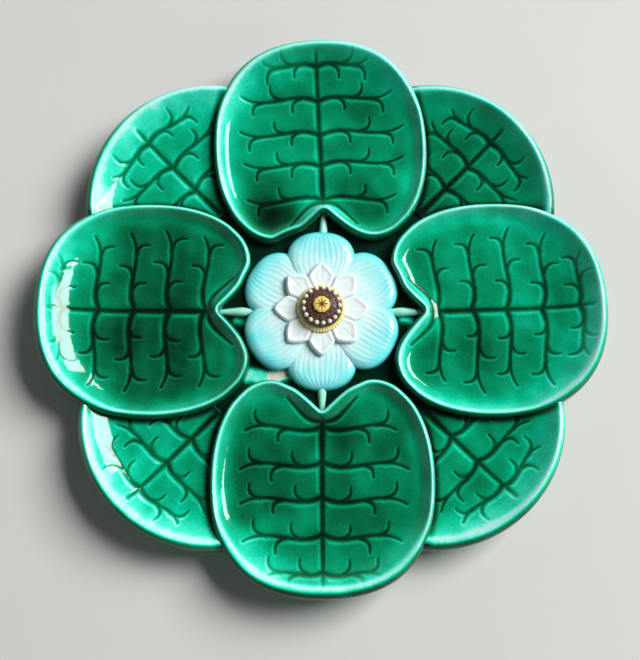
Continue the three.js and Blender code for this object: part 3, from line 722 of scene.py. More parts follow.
def pad_surface(points, field, lip, inset, floor, lip_height, depth, seed):
    """Heights of a veined pad with a lip, and its glaze depths before pools and crest."""
    nearness, widths, lit_sides = field
    fade = lip.vein_share(inset)
    heights = floor + dish_rise(points) + lip.rise(lip_height, inset)
    heights += fade * carving(nearness, widths) + ripples(points, PAD_WAVES, seed)
    glaze = depth + fade * vein_glaze(nearness, widths, lit_sides) + lip.glaze(inset)
    return heights, glaze + ripples(points, PAD_CLOUDS, seed)


# Front pads
FRONT_HEART = np.array([FRONT_WIDEST_AT, 0.0])
FRONT_CELLS = 210
FRONT_OUTLINE_POINTS = 150
FRONT_SOFTENING = 4
FRONT_SEED = 11
# Usual depth of the glaze on each pad
FRONT_DEPTHS = {"right": 0.50, "top": 0.52, "left": 0.68, "bottom": 0.63}
# Pool round the notch, and over which u it ends
NOTCH_POOL = 0.10
NOTCH_POOL_FADE = (36, 52)
# Deep pools in each pad, and painted light on pad walls as negative depths: u, v, radius and depth
POOLS_AND_LIT_WALLS = {
    "right": ((62, -16, 14, 0.17), (58, 12, 12, 0.06), (100, 8, 10, 0.08)),
    "top": (
        (38, 21, 10, 0.34),
        (50, 26, 9, 0.12),
        (44, -16, 12, 0.10),
        (80, -22, 14, 0.12),
        (107, 0, 15, 0.14),
        (76, 36, 12, -0.08),
    ),
    "left": (
        (58, 12, 13, 0.12),
        (80, 14, 12, 0.08),
        (62, -12, 10, 0.08),
        (100, -24, 16, -0.20),
        (108, 4, 15, -0.20),
        (98, 28, 13, -0.14),
        (37, -18, 12, -0.15),
        (37, 18, 12, -0.11),
    ),
    "bottom": (
        (52, -20, 9, 0.12),
        (70, -24, 10, 0.08),
        (50, 8, 8, 0.12),
        (98, -22, 15, -0.14),
        (36, -19, 11, -0.17),
        (36, 18, 11, -0.12),
    ),
}


def front_half():
    return np.concatenate([
        bezier(
            (FRONT_NOTCH_AT, 0),
            (FRONT_NOTCH_AT - NOTCH_FLARE, NOTCH_FLARE),
            (FRONT_LOBE_AT, FRONT_LOBE_SPREAD - LOBE_INNER_ROUND),
            (FRONT_LOBE_AT, FRONT_LOBE_SPREAD),
        ),
        bezier(
            (FRONT_LOBE_AT, FRONT_LOBE_SPREAD),
            (FRONT_LOBE_AT, FRONT_LOBE_SPREAD + LOBE_OUTER_ROUND),
            (FRONT_WIDEST_AT - SIDE_ROUND, FRONT_HALF_WIDTH),
            (FRONT_WIDEST_AT, FRONT_HALF_WIDTH),
        )[1:],
        bezier(
            (FRONT_WIDEST_AT, FRONT_HALF_WIDTH),
            (FRONT_WIDEST_AT + SHOULDER_ROUND, FRONT_HALF_WIDTH),
            (FRONT_REACH, END_ROUND),
            (FRONT_REACH, 0),
        )[1:],
    ])


def trimmed(points):
    """Keeps a front pad clear of the flower and inside its own quarter of the plate."""
    far = lengths(points)
    kept = points * (np.maximum(far, PETAL_REACH + FLOWER_GAP) / far)[:, None]
    limit = kept[:, 0] - CHANNEL_WIDTH * np.sqrt(0.5)
    kept[:, 1] = np.sign(kept[:, 1]) * np.minimum(np.abs(kept[:, 1]), limit)
    return kept


def front_outline(direction, lean):
    flat = mirrored(spaced(front_half(), FRONT_OUTLINE_POINTS))
    return softened(turn(trimmed(turn(flat, lean, FRONT_HEART)), direction), FRONT_SOFTENING)


front_outlines = {place: front_outline(*pad) for place, pad in FRONT_PADS.items()}


def front_pad(place, seed):
    direction, lean = FRONT_PADS[place]
    heart = turn(FRONT_HEART, direction)
    reach = reach_function(front_outlines[place], heart)
    veins = leaf_veins(FRONT_MIDRIB, FRONT_ROWS, BASAL_VEIN, seed)

    def top(points, inset):
        local = turn(turn(points, -direction), -lean, FRONT_HEART)
        field = vein_field(local, veins, turn((1.0, 0.0), AWAY_FROM_LIGHT - direction - lean))
        angles = bearings(points - heart)
        edge_radius = lengths(heart + reach(angles)[:, None] * directions(angles))
        lip = Lip(edge_radius, np.cos(angles - radians(AWAY_FROM_LIGHT)))
        heights, glaze = pad_surface(
            points, field, lip, inset, FRONT_FLOOR, FRONT_LIP_HEIGHT, FRONT_DEPTHS[place], seed
        )
        glaze += NOTCH_POOL * falling(*NOTCH_POOL_FADE, local[:, 0])
        for u, v, radius, depth in POOLS_AND_LIT_WALLS[place]:
            glaze += depth * bell(lengths(local - (u, v)), 0, radius)
        return heights, lip.pale_crest(np.maximum(glaze, THINNEST), inset)

    shell = relief(front_outlines[place], heart, FRONT_CELLS, top, seat)
    shell.piece(f"front_pad_{place}_leaf", f"front_pad_{place}", "front_glaze", front_glaze)


for number, place in enumerate(FRONT_PADS):
    front_pad(place, FRONT_SEED + number)


# Rear pads, tucked a little way under the front pads beside them
REAR_ARC_AT = REAR_REACH - REAR_ARC_RADIUS
REAR_HEART = np.array([(REAR_NOSE_AT + REAR_REACH) / 2, 0.0])
REAR_CELLS = 150
REAR_RAYS = 480
REAR_ARC_POINTS = 120
REAR_SEED = 31
REAR_SHARP_ANGLE = 40
# Shares of a ray at which it is tried against the front pads
REAR_TRIALS = np.linspace(0.05, 1, 200)
# Usual depth of the glaze on each rear pad; the two on the left are set lighter, a painted sheen
# where the light glances off them
REAR_DEPTHS_AND_SHEEN = {"upper_right": 0.61, "upper_left": 0.43, "lower_left": 0.45, "lower_right": 0.52}
# Pools along the front pads' edges, by the distance from them, and at the nose, by u
TUCK_POOL = 0.40
TUCK_POOL_FADE = (0.5, 3.2)
NOSE_POOL = 0.16
NOSE_POOL_FADE = (60, 72)


def rear_blank():
    angles = np.radians(np.linspace(REAR_SIDE_ANGLE, 0, REAR_ARC_POINTS))
    arc = REAR_ARC_RADIUS * directions(angles) + (REAR_ARC_AT, 0)
    nose = np.array([REAR_NOSE_AT, 0.0])
    bend = np.array([REAR_NOSE_AT, REAR_NOSE_ROUND])
    side = bezier(nose, (nose + 2 * bend) / 3, (arc[0] + 2 * bend) / 3, arc[0])
    return mirrored(np.concatenate([side, arc[1:]]))


def rear_outline(direction):
    """The blank, drawn in to just under the front pads."""
    heart = turn(REAR_HEART, direction)
    angles = np.linspace(-np.pi, np.pi, REAR_RAYS, endpoint=False)
    rays = directions(angles)
    reaches = reach_function(turn(rear_blank(), direction), heart)(angles)
    for place, (front_direction, _) in FRONT_PADS.items():
        front_heart = turn(FRONT_HEART, front_direction)
        front_reach = reach_function(front_outlines[place], front_heart)
        points = heart + REAR_TRIALS[None, :, None] * reaches[:, None, None] * rays[:, None]
        away = points - front_heart
        tucked = front_reach(bearings(away)) - lengths(away) > REAR_TUCK
        first = np.where(tucked.any(1), REAR_TRIALS[tucked.argmax(1)], 1.0)
        reaches = reaches * first
    return heart + reaches[:, None] * rays


rear_outlines = {place: rear_outline(direction) for place, direction in REAR_PADS.items()}


def rear_pad(place, seed):
    direction = REAR_PADS[place]
    heart = turn(REAR_HEART, direction)
    veins = leaf_veins(REAR_MIDRIB, REAR_ROWS, None, seed)

    def top(points, inset):
        local = turn(points, -direction)
        field = vein_field(local, veins, turn((1.0, 0.0), AWAY_FROM_LIGHT - direction))
        from_rim = np.maximum(0, REAR_ARC_RADIUS - lengths(local - (REAR_ARC_AT, 0)))
        angles = bearings(points - heart)
        lip = Lip(REAR_REACH, np.cos(angles - radians(AWAY_FROM_LIGHT)))
        heights, glaze = pad_surface(
            points, field, lip, from_rim, REAR_FLOOR, REAR_LIP_HEIGHT, REAR_DEPTHS_AND_SHEEN[place], seed
        )
        from_front = np.min([nearest(points, edge)[0] for edge in front_outlines.values()], axis=0)
        tuck = TUCK_POOL * falling(*TUCK_POOL_FADE, from_front)
        glaze += tuck + NOSE_POOL * falling(*NOSE_POOL_FADE, local[:, 0])
        return heights, lip.pale_crest(np.maximum(glaze, THINNEST), from_rim)

    shell = relief(rear_outlines[place], heart, REAR_CELLS, top, seat)
    piece = shell.piece(f"rear_pad_{place}_leaf", f"rear_pad_{place}", "rear_glaze", rear_glaze)
    piece.data.set_sharp_from_angle(angle=radians(REAR_SHARP_ANGLE))


for number, place in enumerate(REAR_PADS):
    rear_pad(place, REAR_SEED + number)


# Body: the dark ground between the pads, and the dished underside
BODY_RAYS = 360
BODY_EDGE_ROUND = 0.35
BODY_SEED = 71
# Rings of the ground, closest where it shows round the flower, then out to the edge
GROUND_RADII = (*np.linspace(6, 22, 5), *np.linspace(22.5, 45, 46), *np.linspace(46, 60, 15))
GROUND_EDGE_SHARES = np.linspace(0.1, 1, 10)
# Rings of the underside, from the edge to the foot and on to the middle
UNDER_EDGE_SHARES = np.linspace(1, 0, 20)
UNDER_RADII = np.linspace(56, 6, 8)
GROUND_GLAZE = 0.965
GROUND_MIDDLE_GLAZE = 0.93
GROUND_CLOUDS = ((0.03, 9.0, 0),)
UNDER_GLAZE = 0.46
UNDER_CLOUDS = ((0.12, 26.0, 2), (0.06, 8.0, 3))
# Thin and bare strokes in the green glaze: two ends, half width and how much is missing
BARE_STROKES = (
    ((-29.0, -25.8), (-19.6, -26.4), 3.2, 0.78),
    ((-19.4, -26.2), (-13.2, -24.8), 3.1, 0.98),
    ((-34.0, -3.6), (-31.0, -4.6), 1.5, 0.63),
    ((32.6, -3.4), (36.0, -4.2), 1.6, 0.75),
)
STROKE_WAVER = ((0.3, 4.0, 1),)
STROKE_FADE = (-1.6, 1.2)


def body_reach():
    """Reach of the outermost pad along each ray, drawn in a little."""
    farthest = np.zeros(BODY_RAYS)
    for outline in (*front_outlines.values(), *rear_outlines.values()):
        fine = spaced(np.concatenate([outline, outline[:1]]), 4 * BODY_RAYS)
        numbers = np.round(bearings(fine) * BODY_RAYS / (2 * np.pi)).astype(int) % BODY_RAYS
        np.maximum.at(farthest, numbers, lengths(fine))
    return farthest - BODY_EDGE_INSET


def plate_body():
    shell = Shell()
    rays = directions(even_angles(BODY_RAYS))
    reach = body_reach()

    def ring(radius, height, glaze):
        points = rays * np.broadcast_to(radius, BODY_RAYS)[:, None]
        return shell.add(points, height(points), glaze(points))

    def to_edge(start, shares):
        """Radii between a circle and the body's edge."""
        return [start + share * (reach - start) for share in shares]

    def ground(points):
        return GROUND + dish_rise(points)

    def edge(points):
        return ground(points) - BODY_EDGE_THICKNESS / 2

    def under(points):
        share = smoothstep(FOOT_RADIUS, FRONT_REACH, lengths(points))
        return ground(points) - BODY_THICKNESS - share * (BODY_EDGE_THICKNESS - BODY_THICKNESS)

    def pooled(points):
        glaze = GROUND_GLAZE + ripples(points, GROUND_CLOUDS, BODY_SEED)
        for start, end, radius, missing in BARE_STROKES:
            start, run = np.array(start), np.subtract(end, start)
            share = np.clip((points - start) @ run / (run @ run), 0, 1)
            far = lengths(points - start - share[:, None] * run)
            far += ripples(points, STROKE_WAVER, BODY_SEED)
            stroke = falling(*(radius + fade for fade in STROKE_FADE), far)
            glaze = np.minimum(glaze, GROUND_GLAZE - missing * stroke)
        return glaze

    def underside(points):
        return UNDER_GLAZE + ripples(points, UNDER_CLOUDS, BODY_SEED)

    middle = shell.add(np.zeros((1, 2)), GROUND, GROUND_MIDDLE_GLAZE)
    radii = [*GROUND_RADII, *to_edge(GROUND_RADII[-1], GROUND_EDGE_SHARES)]
    loops = [ring(radius, ground, pooled) for radius in radii]
    loops.append(ring(reach + BODY_EDGE_ROUND, edge, underside))
    radii = [*to_edge(FOOT_RADIUS, UNDER_EDGE_SHARES), *UNDER_RADII]
    loops += [ring(radius, under, underside) for radius in radii]
    shell.close(loops[0][::-1], middle)
    shell.join(loops)
    shell.close(loops[-1], shell.add(np.zeros((1, 2)), FOOT_HEIGHT, UNDER_GLAZE))
    shell.piece("plate_body_ground", "plate_body", "dark_glaze", dark_glaze)


plate_body()


# Foot ring
FOOT_RAYS = 180
FOOT_ROUND_STEPS = 6
FOOT_MIDDLE_HEIGHT = 2.4
FOOT_GLAZE = 0.5
WIPED_BELOW = 0.7
WIPED_GLAZE = 0.02


def foot_ring():
    """Round-edged ring, with the glaze wiped off where it stands."""
    outer, inner = FOOT_RADIUS, FOOT_RADIUS - FOOT_WIDTH
    turns = np.radians(np.linspace(0, 90, FOOT_ROUND_STEPS))
    bends = [(FOOT_ROUND * (1 - np.cos(a)), FOOT_ROUND * (1 - np.sin(a))) for a in turns]
    profile = [(outer, FOOT_HEIGHT + SUNK), (outer, FOOT_MIDDLE_HEIGHT)]
    profile += [(outer - inward, height) for inward, height in bends]
    profile += [(inner + inward, height) for inward, height in bends[::-1]]
    profile += [(inner, FOOT_MIDDLE_HEIGHT), (inner, FOOT_HEIGHT + SUNK)]
    shell = Shell()
    loops = []
    for radius, height in profile:
        glaze = FOOT_GLAZE if height > WIPED_BELOW else WIPED_GLAZE
        loops.append(shell.add(circle(radius, FOOT_RAYS), height, glaze))
    shell.join(loops + loops[:1])
    shell.piece("foot_ring_turned", "foot_ring", "dark_glaze", dark_glaze)


foot_ring()


# Stalks, from under the petals to the tip of each front pad's notch
STALK_ROOT_AT = 21.5
STALK_SUNK_LENGTH = 3.0
STALK_START = 26.0
STALK_FULL_AT = 33.0
STALK_NECK_SHARE = 0.5
STALK_TAPER = 1.5
STALK_TIP_PAST = 0.5
STALK_TIP_ROUND = 1.2
STALK_LAST_RING = 0.985
STALK_UNDER_SHARE = 0.25
STALK_STEPS = 30
STALK_SIDES = 24
# Glaze at the sides, what it loses on the crown and gains at the tip, and at the two ends
STALK_GLAZE = 0.43
STALK_CROWN_THINNING = 0.24
STALK_TIP_POOL = 0.10
STALK_END_GLAZE = 0.4


def stalk(place):
    """Half-round stalk, slender at the flower and tapered to a blunt tip in the notch."""
    direction, lean = FRONT_PADS[place]
    notch = turn(turn(np.array([FRONT_NOTCH_AT, 0.0]), lean, FRONT_HEART), direction)
    reach = lengths(notch)
    outward = notch / reach
    sideways = np.array([-outward[1], outward[0]])
    shell = Shell()
    angles = even_angles(STALK_SIDES)
    up = np.sin(angles) * np.where(np.sin(angles) > 0, 1, STALK_UNDER_SHARE)
    tip = reach + STALK_TIP_PAST
    rings = np.sin(np.pi / 2 * np.linspace(0, STALK_LAST_RING, STALK_STEPS))
    loops = []
    for far in STALK_START + (tip - STALK_START) * rings:
        along = (far - STALK_ROOT_AT) / (reach + STALK_SUNK_LENGTH - STALK_ROOT_AT)
        neck = smoothstep(STALK_START, STALK_FULL_AT, far)
        girth = 1 - (1 - STALK_TIP_SHARE) * along**STALK_TAPER
        girth *= min(1, np.sqrt((tip - far) / STALK_TIP_ROUND))
        girth *= STALK_NECK_SHARE + (1 - STALK_NECK_SHARE) * neck
        across = np.cos(angles) * STALK_HALF_WIDTH * girth
        glaze = STALK_GLAZE - STALK_CROWN_THINNING * np.sin(angles) + STALK_TIP_POOL * along
        points = outward * far + np.outer(across, sideways)
        loops.append(shell.add(points, PETAL_BASE + STALK_HEIGHT * girth * up, glaze))
    shell.join(loops)
    for loop, far in ((loops[-1], tip), (loops[0][::-1], STALK_START)):
        shell.close(loop, shell.add((outward * far)[None], PETAL_BASE, STALK_END_GLAZE))
    shell.piece(f"stalk_{place}_bud", f"stalk_{place}", "stalk_glaze", stalk_glaze)


for place in FRONT_PADS:
    stalk(place)


# Outer petals
PETAL_HEART = np.array([(PETAL_ROOT_AT + PETAL_REACH) / 2, 0.0])
PETAL_CELLS = 84
PETAL_OUTLINE_POINTS = 60
PETAL_SOFTENING = 2
PETAL_WALL = (0.2, (0.6, 1.0))
PETAL_SHOULDER_POWER = 2.4
PETAL_WAVES = ((0.05, 6.0, 0),)
OVER_SEED = 81
UNDER_SEED = 91
# Ribs: they fade in from the edge and along u, wander, and differ in strength
PETAL_RIBS = 13
RIB_DEPTH = 0.15
RIB_MARGIN = 0.5
RIB_EDGE_FADE = (0.6, 3.0)
RIB_ROOT_FADE = (10, 15)
RIB_WANDER = ((0.10, 14.0, 5), (0.03, 4.0, 6))
RIB_SHARPNESS = 1.5
RIB_STRENGTH = 0.75
RIB_UNEVENNESS = ((0.35, 11.0, 7),)
# Glaze: pools in the grooves, along the edge, behind the edge and towards the tip
PETAL_GLAZE = 0.05
PETAL_CLOUDS = ((0.07, 9.0, 9),)
RIB_POOL = 0.14
PETAL_EDGE_POOL = 0.30
PETAL_EDGE_FADE = (0, 1.2)
PETAL_BORDER_POOL = 0.15
PETAL_BORDER_FADE = (0.5, 5.0)
PETAL_BORDER_START = (13, 22)
PETAL_TIP_POOL = 0.38
PETAL_TIP_FADE = (16, 32)


def petal_half():
    root = np.array([[PETAL_ROOT_AT, 0], [PETAL_ROOT_AT, PETAL_ROOT_HALF_WIDTH]])
    side = bezier(
        root[1],
        (PETAL_ROOT_AT + PETAL_SIDE_ROUND, PETAL_ROOT_HALF_WIDTH + PETAL_SIDE_ROUND / 2),
        (PETAL_WIDEST_AT - PETAL_SIDE_ROUND, PETAL_HALF_WIDTH),
        (PETAL_WIDEST_AT, PETAL_HALF_WIDTH),
    )
    end = bezier(
        (PETAL_WIDEST_AT, PETAL_HALF_WIDTH),
        (PETAL_WIDEST_AT + PETAL_END_ROUND, PETAL_HALF_WIDTH),
        (PETAL_REACH, PETAL_TIP_ROUND),
        (PETAL_REACH, 0),
    )
    return np.concatenate([root[:1], side, end[1:]])


def outer_petal(place, direction, drop, seed):
    half = petal_half()
    flat = softened(mirrored(spaced(half, PETAL_OUTLINE_POINTS)), PETAL_SOFTENING)

    def top(points, inset):
        u, v = turn(points, -direction).T
        across = v / (np.interp(u, half[:, 0], half[:, 1]) + RIB_MARGIN)
        shoulder = np.clip(1 - inset / PETAL_SHOULDER, 0, 1)
        wander = ripples(points, RIB_WANDER, seed)
        phase = np.pi * (PETAL_RIBS * across + wander * PETAL_RIBS / 3)
        groove = (0.5 - 0.5 * np.cos(phase)) ** RIB_SHARPNESS
        fade = smoothstep(*RIB_EDGE_FADE, inset) * smoothstep(*RIB_ROOT_FADE, u)
        uneven = RIB_STRENGTH + ripples(points, RIB_UNEVENNESS, seed)
        heights = PETAL_BASE + PETAL_CROWN_HEIGHT - drop
        heights = heights - PETAL_EDGE_DROP * shoulder**PETAL_SHOULDER_POWER
        heights += -RIB_DEPTH * groove * fade * uneven + ripples(points, PETAL_WAVES, seed)
        glaze = PETAL_GLAZE + PETAL_TIP_POOL * smoothstep(*PETAL_TIP_FADE, u)
        glaze += RIB_POOL * groove * fade * uneven
        edge = PETAL_EDGE_POOL * falling(*PETAL_EDGE_FADE, inset)
        border = PETAL_BORDER_POOL * falling(*PETAL_BORDER_FADE, inset)
        glaze += edge + ripples(points, PETAL_CLOUDS, seed)
        return heights, glaze + border * smoothstep(*PETAL_BORDER_START, u)

    outline, heart = turn(flat, direction), turn(PETAL_HEART, direction)
    shell = relief(outline, heart, PETAL_CELLS, top, seat, PETAL_WALL)
    shell.piece(f"outer_petal_{place}_ribbed", f"outer_petal_{place}", "petal_glaze", petal_glaze)


for number, (place, direction) in enumerate(OVER_PETALS.items()):
    outer_petal(place, direction, 0.0, OVER_SEED + number)
for number, (place, direction) in enumerate(UNDER_PETALS.items()):
    outer_petal(place, direction, PETAL_UNDER_DROP, UNDER_SEED + number)


# Inner petals, every other one a little higher
INNER_CELLS = 44
INNER_LIFT = 0.3
INNER_ROOT_IN = 2
INNER_SIDE_GAP = 0.1
INNER_BEND = np.array([-0.62, 1.18])
INNER_OUTLINE_POINTS = 40
INNER_SOFTENING = 3
INNER_WALL = (0.1, (0.4, 0.9))
INNER_SEED = 101
# Relief: a rounded edge, a low rim inside it, a hollow and a fold down the middle
INNER_SHOULDER = 1.2
INNER_EDGE_DROP = 0.6
INNER_RIM = (0.75, 0.45)
INNER_RIM_START = (9, 12)
INNER_RIM_HEIGHT = 0.16
INNER_HOLLOW = (0.9, 2.6)
INNER_HOLLOW_DEPTH = 0.22
INNER_FOLD_WIDTH = 0.55
INNER_FOLD_START = (10, 13)
INNER_FOLD_DEPTH = 0.10
INNER_WAVES = ((0.04, 5.0, 0),)
# Glaze, over the same relief
INNER_GLAZE = 0.06
INNER_EDGE_POOL = 0.30
INNER_EDGE_FADE = (0, 0.7)
INNER_HOLLOW_POOL = 0.10
INNER_FOLD_POOL = 0.08
INNER_RIM_THINNING = 0.06
INNER_CLOUDS = ((0.06, 5.0, 10),)


def inner_petal(number):
    slope = np.tan(np.pi / INNER_PETAL_COUNT)
    root, widest = PETAL_ROOT_AT - INNER_ROOT_IN, INNER_PETAL_WIDEST_AT
    tip = np.array([INNER_PETAL_REACH, 0.0])
    bend = tip + INNER_BEND * INNER_PETAL_SIDE_ROUND
    start = np.array([widest, widest * slope - INNER_SIDE_GAP])
    side = bezier(start, (start + 2 * bend) / 3, (tip + 2 * bend) / 3, tip)
    half = np.concatenate([[[root, 0], [root, root * slope]], side])
    direction = 360 * number / INNER_PETAL_COUNT
    lift = INNER_LIFT * (number % 2)
    seed = INNER_SEED + number

    def top(points, inset):
        u, v = turn(points, -direction).T
        shoulder = np.clip(1 - inset / INNER_SHOULDER, 0, 1)
        rim = bell(inset, *INNER_RIM) * smoothstep(*INNER_RIM_START, u)
        fold = bell(v, 0, INNER_FOLD_WIDTH) * smoothstep(*INNER_FOLD_START, u)
        hollow = smoothstep(*INNER_HOLLOW, inset)
        heights = INNER_PETAL_BASE + INNER_PETAL_THICKNESS - INNER_LIFT + lift
        heights = heights - INNER_EDGE_DROP * shoulder**2 + INNER_RIM_HEIGHT * rim
        heights = heights - INNER_HOLLOW_DEPTH * hollow - INNER_FOLD_DEPTH * fold
        heights = heights + ripples(points, INNER_WAVES, seed)
        glaze = INNER_GLAZE + INNER_EDGE_POOL * falling(*INNER_EDGE_FADE, inset)
        glaze = glaze + INNER_HOLLOW_POOL * hollow + INNER_FOLD_POOL * fold
        glaze += ripples(points, INNER_CLOUDS, seed) - INNER_RIM_THINNING * rim
        return heights, glaze

    flat = softened(mirrored(spaced(half, INNER_OUTLINE_POINTS)), INNER_SOFTENING)
    outline, heart = turn(flat, direction), turn((widest, 0.0), direction)
    base = level(PETAL_BASE + PETAL_CROWN_HEIGHT - PETAL_UNDER_DROP - SUNK)
    shell = relief(outline, heart, INNER_CELLS, top, base, INNER_WALL)
    name = f"inner_petal_{number + 1}"
    shell.piece(f"{name}_pointed", name, "inner_petal_glaze", inner_petal_glaze)


for number in range(INNER_PETAL_COUNT):
    inner_petal(number)


# Stamens: a fringe of strands, longest on one side, that droops at its edge
FRINGE_CELLS = 130
FRINGE_POINTS = 480
FRINGE_WALL = (0.05, (0.3, 0.6))
FRINGE_STRANDS = 52
FRINGE_SWAY = 0.6
FRINGE_SWAYS = 5
FRINGE_LONGEST_AT = 245.0
FRINGE_SHIFT = 0.45
FRINGE_TOOTH = 0.35
FRINGE_CROWN = 0.25
STRAND_DEPTH = 0.28
STRAND_POOL = 0.22
STRAND_FADE = (7.6, 8.6)
FRINGE_DROOP = 0.75
FRINGE_DROOP_OVER = (8.2, 9.9)
FRINGE_ROOT_POOL = 0.72
FRINGE_ROOT_FADE = (7.9, 8.9)


def strands(angles):
    """1 along the middle of each strand, 0 between strands."""
    sway = FRINGE_SWAY * np.sin(FRINGE_SWAYS * angles)
    return np.abs(np.sin(FRINGE_STRANDS * angles / 2 + sway))


def stamen_fringe():
    angles = even_angles(FRINGE_POINTS)
    reach = FRINGE_RADIUS - FRINGE_TOOTH * (1 - strands(angles))
    reach = reach + FRINGE_SHIFT * np.cos(angles - radians(FRINGE_LONGEST_AT))

    def top(points, inset):
        far, strand = lengths(points), strands(bearings(points))
        fade = smoothstep(*STRAND_FADE, far)
        heights = FRINGE_BASE + FRINGE_THICKNESS + FRINGE_CROWN
        heights = heights + STRAND_DEPTH * (strand - 1) * fade
        heights = heights - FRINGE_DROOP * smoothstep(*FRINGE_DROOP_OVER, far)
        root = FRINGE_ROOT_POOL * falling(*FRINGE_ROOT_FADE, far)
        return heights, STRAND_POOL * (1 - strand) * fade + root

    outline = reach[:, None] * directions(angles)
    base = level(FRINGE_BASE - SEAT_GAP - SUNK)
    shell = relief(outline, (0, 0), FRINGE_CELLS, top, base, FRINGE_WALL)
    shell.piece("stamen_fringe_strands", "stamen_fringe", "yellow_glaze", yellow_glaze)


stamen_fringe()


# Beads on a narrow band, and the dome of the seed head that they lie on
HEAD_EDGE_MARGIN = 0.1
HEAD_CROWN = 1.02
HEAD_POWER = 2.2
BEAD_SEED = 121
BEAD_SIZES = (0.90, 1.06)
BEAD_SIDES = 16
BEAD_TILTS = np.radians(np.linspace(78, -78, 9))
BEAD_GLAZE = 0.12
BEAD_TOP_GLAZE = 0.0
BEAD_FOOT_GLAZE = 0.3
BAND_RAYS = 120
BAND_HALF_WIDTH = 0.45
BAND_ABOVE = 0.12
BAND_BELOW = 0.9
BAND_SLOPE = 0.15
BAND_GLAZE = 0.95


def head_rise(far):
    """Height of the seed head's dome above its base."""
    share = np.clip(far / (HEAD_RADIUS + HEAD_EDGE_MARGIN), 0, 1)
    return HEAD_HEIGHT * np.minimum(1, HEAD_CROWN * np.sqrt(1 - share**HEAD_POWER))


def bead_ring():
    """Beads of glaze, each a little different, on a narrow band."""
    shell = Shell()
    draw = np.random.default_rng(BEAD_SEED)
    around = circle(1, BEAD_SIDES)
    seat_height = HEAD_BASE + head_rise(BEAD_CIRCLE_RADIUS)
    for centre in circle(BEAD_CIRCLE_RADIUS, BEAD_COUNT):
        size = BEAD_RADIUS * draw.uniform(*BEAD_SIZES)
        middle = seat_height + 0.5 * size
        loops = []
        for tilt in BEAD_TILTS:
            ring = centre + around * size * np.cos(tilt)
            glaze = BEAD_GLAZE - BEAD_GLAZE * np.sin(tilt)
            loops.append(shell.add(ring, middle + size * np.sin(tilt), glaze))
        shell.join(loops)
        shell.close(loops[-1], shell.add(centre[None], middle - size, BEAD_FOOT_GLAZE))
        shell.close(loops[0][::-1], shell.add(centre[None], middle + size, BEAD_TOP_GLAZE))
    outer, inner = BEAD_CIRCLE_RADIUS + BAND_HALF_WIDTH, BEAD_CIRCLE_RADIUS - BAND_HALF_WIDTH
    upper, lower = seat_height + BAND_ABOVE, seat_height - BAND_BELOW
    section = ((inner, upper), (outer, upper - BAND_SLOPE), (outer, lower), (inner, lower))
    band = [shell.add(circle(far, BAND_RAYS), height, BAND_GLAZE) for far, height in section]
    shell.join(band + band[:1])
    shell.piece("bead_ring_beads", "bead_ring", "bead_glaze", bead_glaze)


bead_ring()


# Seeds
SEED_COUNT = 329
SEED_PLACES_SEED = 131
SEED_TONES_SEED = 132
SEED_SCATTER = 0.06
SEED_RADIUS = 0.36
SEED_HEIGHT = 0.24
SEED_TONES = (0.2, 1.0)
SEED_GAP_GLAZE = 0.85
SEED_THINNING = 0.75
HEAD_CELLS = 150
HEAD_POINTS = 240
HEAD_WALL = (0.02, (0.8, 1.0))


def seed_head():
    """Dome covered with small seeds, laid out in a spiral by the golden angle."""
    numbers = np.arange(1, SEED_COUNT + 1)
    turns = numbers * np.pi * (3 - np.sqrt(5))
    spread = HEAD_RADIUS * np.sqrt(numbers / SEED_COUNT)
    centres = spread[:, None] * directions(turns)
    centres += np.random.default_rng(SEED_PLACES_SEED).normal(0, SEED_SCATTER, centres.shape)
    tones = np.random.default_rng(SEED_TONES_SEED).uniform(*SEED_TONES, SEED_COUNT)

    def top(points, inset):
        gap, which = nearest(points, centres)
        bump = np.clip(1 - (gap / SEED_RADIUS) ** 2, 0, 1)
        heights = HEAD_BASE + head_rise(lengths(points)) + SEED_HEIGHT * (bump - 1)
        return heights, SEED_GAP_GLAZE - SEED_THINNING * bump * tones[which]

    outline, base = circle(HEAD_RADIUS, HEAD_POINTS), level(HEAD_BASE - SEAT_GAP - SUNK)
    shell = relief(outline, (0, 0), HEAD_CELLS, top, base, HEAD_WALL)
    shell.piece("seed_head_dome", "seed_head", "brown_glaze", brown_glaze)


seed_head()


# Stigma
STIGMA_CELLS = 80
STIGMA_POINTS = 240
STIGMA_WALL = (0.05, (0.35, 0.7))
STIGMA_SCALLOPS = 10
STIGMA_SCALLOP = (0.97, 0.03)
STIGMA_EDGE_DROP = 0.4
STIGMA_EDGE = (0, 0.9)
STIGMA_GLAZE = 0.24
STIGMA_EDGE_POOL = 0.16
STIGMA_EDGE_FADE = (0, 0.8)
STAR_RAYS = 8
STAR_REACHES = (2.65, 2.2)
STAR_HALF_WIDTH = 0.30
STAR_TIP_HALF_WIDTH = 0.06
STAR_TIP = 0.2
STAR_CUT = (0.5, 1.2)
STAR_DEPTH = 0.25
STAR_POOL = 0.70


